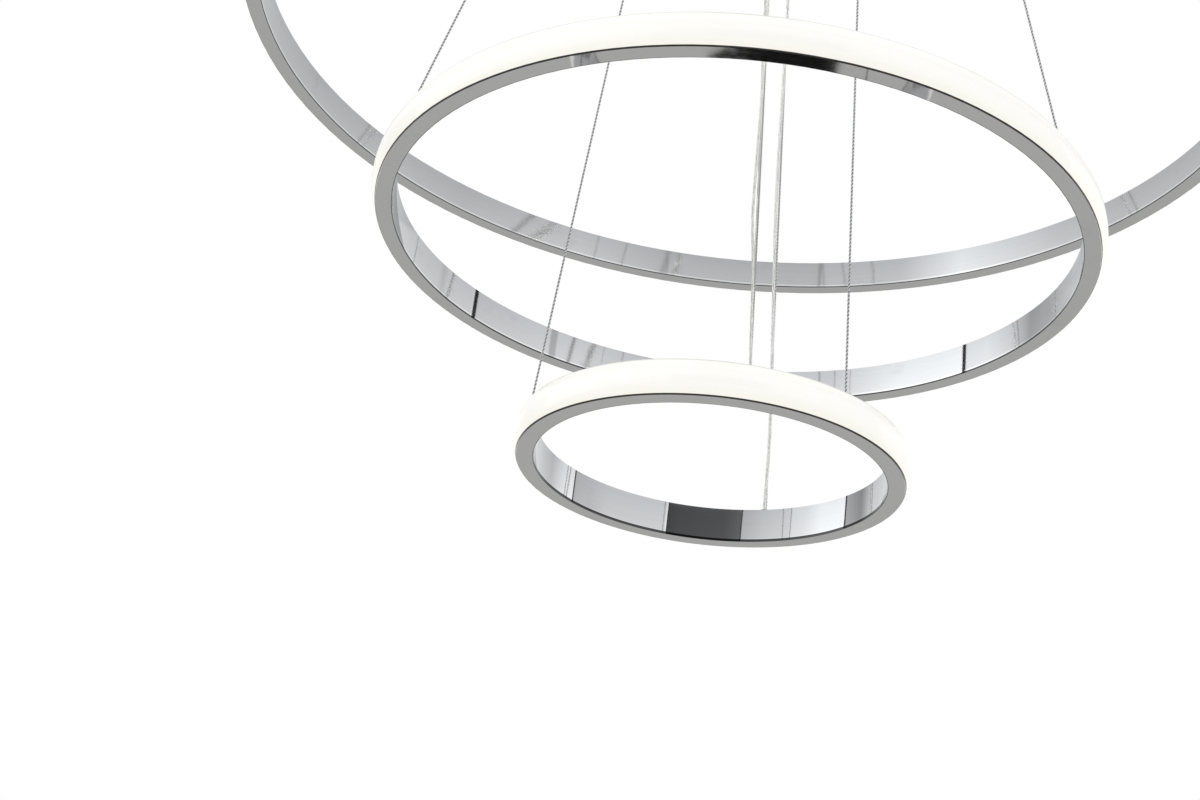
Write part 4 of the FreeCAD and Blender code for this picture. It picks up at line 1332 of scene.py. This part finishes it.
    def _panel(self, band: PanelBand) -> None:
        """Hangs one curved band of panels that only gloss sees.

        Args:
            band: The band's place and brightness.
        """
        turns, levels = band.levels()
        edges = self.middle[2] + band.reach * np.tan(np.radians(band.heights))
        points = np.array([on_circle(band.reach, turn, edge) for turn in turns for edge in edges])
        starts = range(0, 2 * len(turns) - 2, 2)
        faces = [[start, start + 2, start + 3, start + 1] for start in starts]
        panel = new_piece(band.name, points, faces, [self._panel_paint(band.name)])
        paint_points(panel, "level", np.repeat(levels / self.paint_peak, 2))
        self._gloss_only(panel)

    def _panel_paint(self, name: str) -> Material:
        """Light of the panels, as bright as each point's level.

        Args:
            name: The material's name.

        Returns:
            The material.
        """
        recipe = Recipe(name)
        return recipe.finish_with(
            Base_Color=BLACK,
            Roughness=1.0,
            Specular_IOR_Level=0.0,
            Emission_Color=recipe.mixed(recipe.painted("level"), BLACK, self.paint),
            Emission_Strength=self.paint_peak,
        )

    def build(self) -> None:
        """Sets the whole studio up."""
        self.camera()
        self.world()
        for lamp in self.lamps:
            lamp.hang(self.middle)
        self.floor()
        for band in self.bands:
            self._panel(band)
        bpy.context.scene.view_settings.view_transform = "Standard"
        REPORT.info("studio ready, %d bands of panels", len(self.bands))


# ---- the object's own numbers
SMALL = RingPlan(
    name="small", radius=0.103, drop=0.860,
    azimuth=66.0, canopy_azimuth=86.5, canopy_radius=0.0445,
    chips=18, lower_wire=0.06, painted_arris_shade=0.0014,
    cable=(
        (0.00324, 0.03083, -0.03700), (0.00324, 0.03083, -0.05900), (0.00377, 0.03252, -0.08323),
        (0.00515, 0.03591, -0.13090), (0.00719, 0.03963, -0.18404), (0.00966, 0.04366, -0.24265),
        (0.01236, 0.04770, -0.30127), (0.01515, 0.05170, -0.35988), (0.01816, 0.05571, -0.41849),
        (0.02139, 0.05973, -0.47710), (0.02445, 0.06347, -0.53181), (0.02617, 0.06827, -0.59042),
        (0.02811, 0.07272, -0.64512), (0.03117, 0.07595, -0.69201), (0.03417, 0.07895, -0.73500),
        (0.03700, 0.08166, -0.77407), (0.03846, 0.08425, -0.80533), (0.03871, 0.08618, -0.82487),
        (0.03908, 0.08785, -0.84200),
    ),
    cable_length=0.808,
)
MEDIUM = RingPlan(
    name="medium", radius=0.200, drop=0.725,
    azimuth=80.5, canopy_azimuth=103.7, canopy_radius=0.040,
    chips=36, lower_wire=0.08, painted_arris_shade=0.0007,
    cable=(
        (-0.00431, 0.03070, -0.03700), (-0.00431, 0.03070, -0.05900), (-0.00365, 0.03625, -0.08227),
        (-0.00200, 0.04710, -0.12688), (0.00044, 0.06048, -0.18183), (0.00325, 0.07461, -0.24002),
        (0.00627, 0.08882, -0.29820), (0.00951, 0.10309, -0.35639), (0.01285, 0.11734, -0.41458),
        (0.01610, 0.13171, -0.47276), (0.01880, 0.14545, -0.52771), (0.02028, 0.15700, -0.57297),
        (0.02143, 0.16530, -0.60529), (0.02556, 0.17227, -0.63438), (0.02784, 0.17882, -0.66024),
        (0.02965, 0.18462, -0.68287), (0.03100, 0.18791, -0.69580), (0.03199, 0.19073, -0.70700),
    ),
    cable_length=0.6905,
)
LARGE = RingPlan(
    name="large", radius=0.300, drop=0.590,
    azimuth=83.0, canopy_azimuth=100.1, canopy_radius=0.050,
    chips=55, lower_wire=0.10, painted_arris_shade=0.0004,
    cable=(
        (-0.01455, 0.02737, -0.03700), (-0.01455, 0.02737, -0.05900), (-0.01332, 0.03797, -0.07997),
        (-0.01035, 0.05716, -0.11782), (-0.00521, 0.08184, -0.16641), (0.00067, 0.10777, -0.21757),
        (0.00617, 0.13386, -0.26871), (0.01069, 0.16016, -0.31987), (0.01541, 0.18655, -0.37101),
        (0.02037, 0.21310, -0.42216), (0.02522, 0.23707, -0.46820), (0.02918, 0.25576, -0.50401),
        (0.03217, 0.27052, -0.53214), (0.03412, 0.28137, -0.55260), (0.03584, 0.29161, -0.57200),
    ),
    cable_length=0.601,
)


def main() -> None:
    """Builds and dresses the chandelier and its studio."""
    logging.basicConfig(level=logging.INFO, format="%(message)s")
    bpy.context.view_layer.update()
    plans = (SMALL, MEDIUM, LARGE)
    Studio().build()
    kit = FinishKit()
    for plan in plans:
        PowerCable(plan, kit).build()
    for plan in plans:
        WireSet(plan, kit).build()
        Ring(plan, kit).dress()
    canopy = Canopy(plans, kit)
    canopy.build_leads()
    canopy.dress()
    Springs(plans, kit).build()


if __name__ == "__main__":
    main()
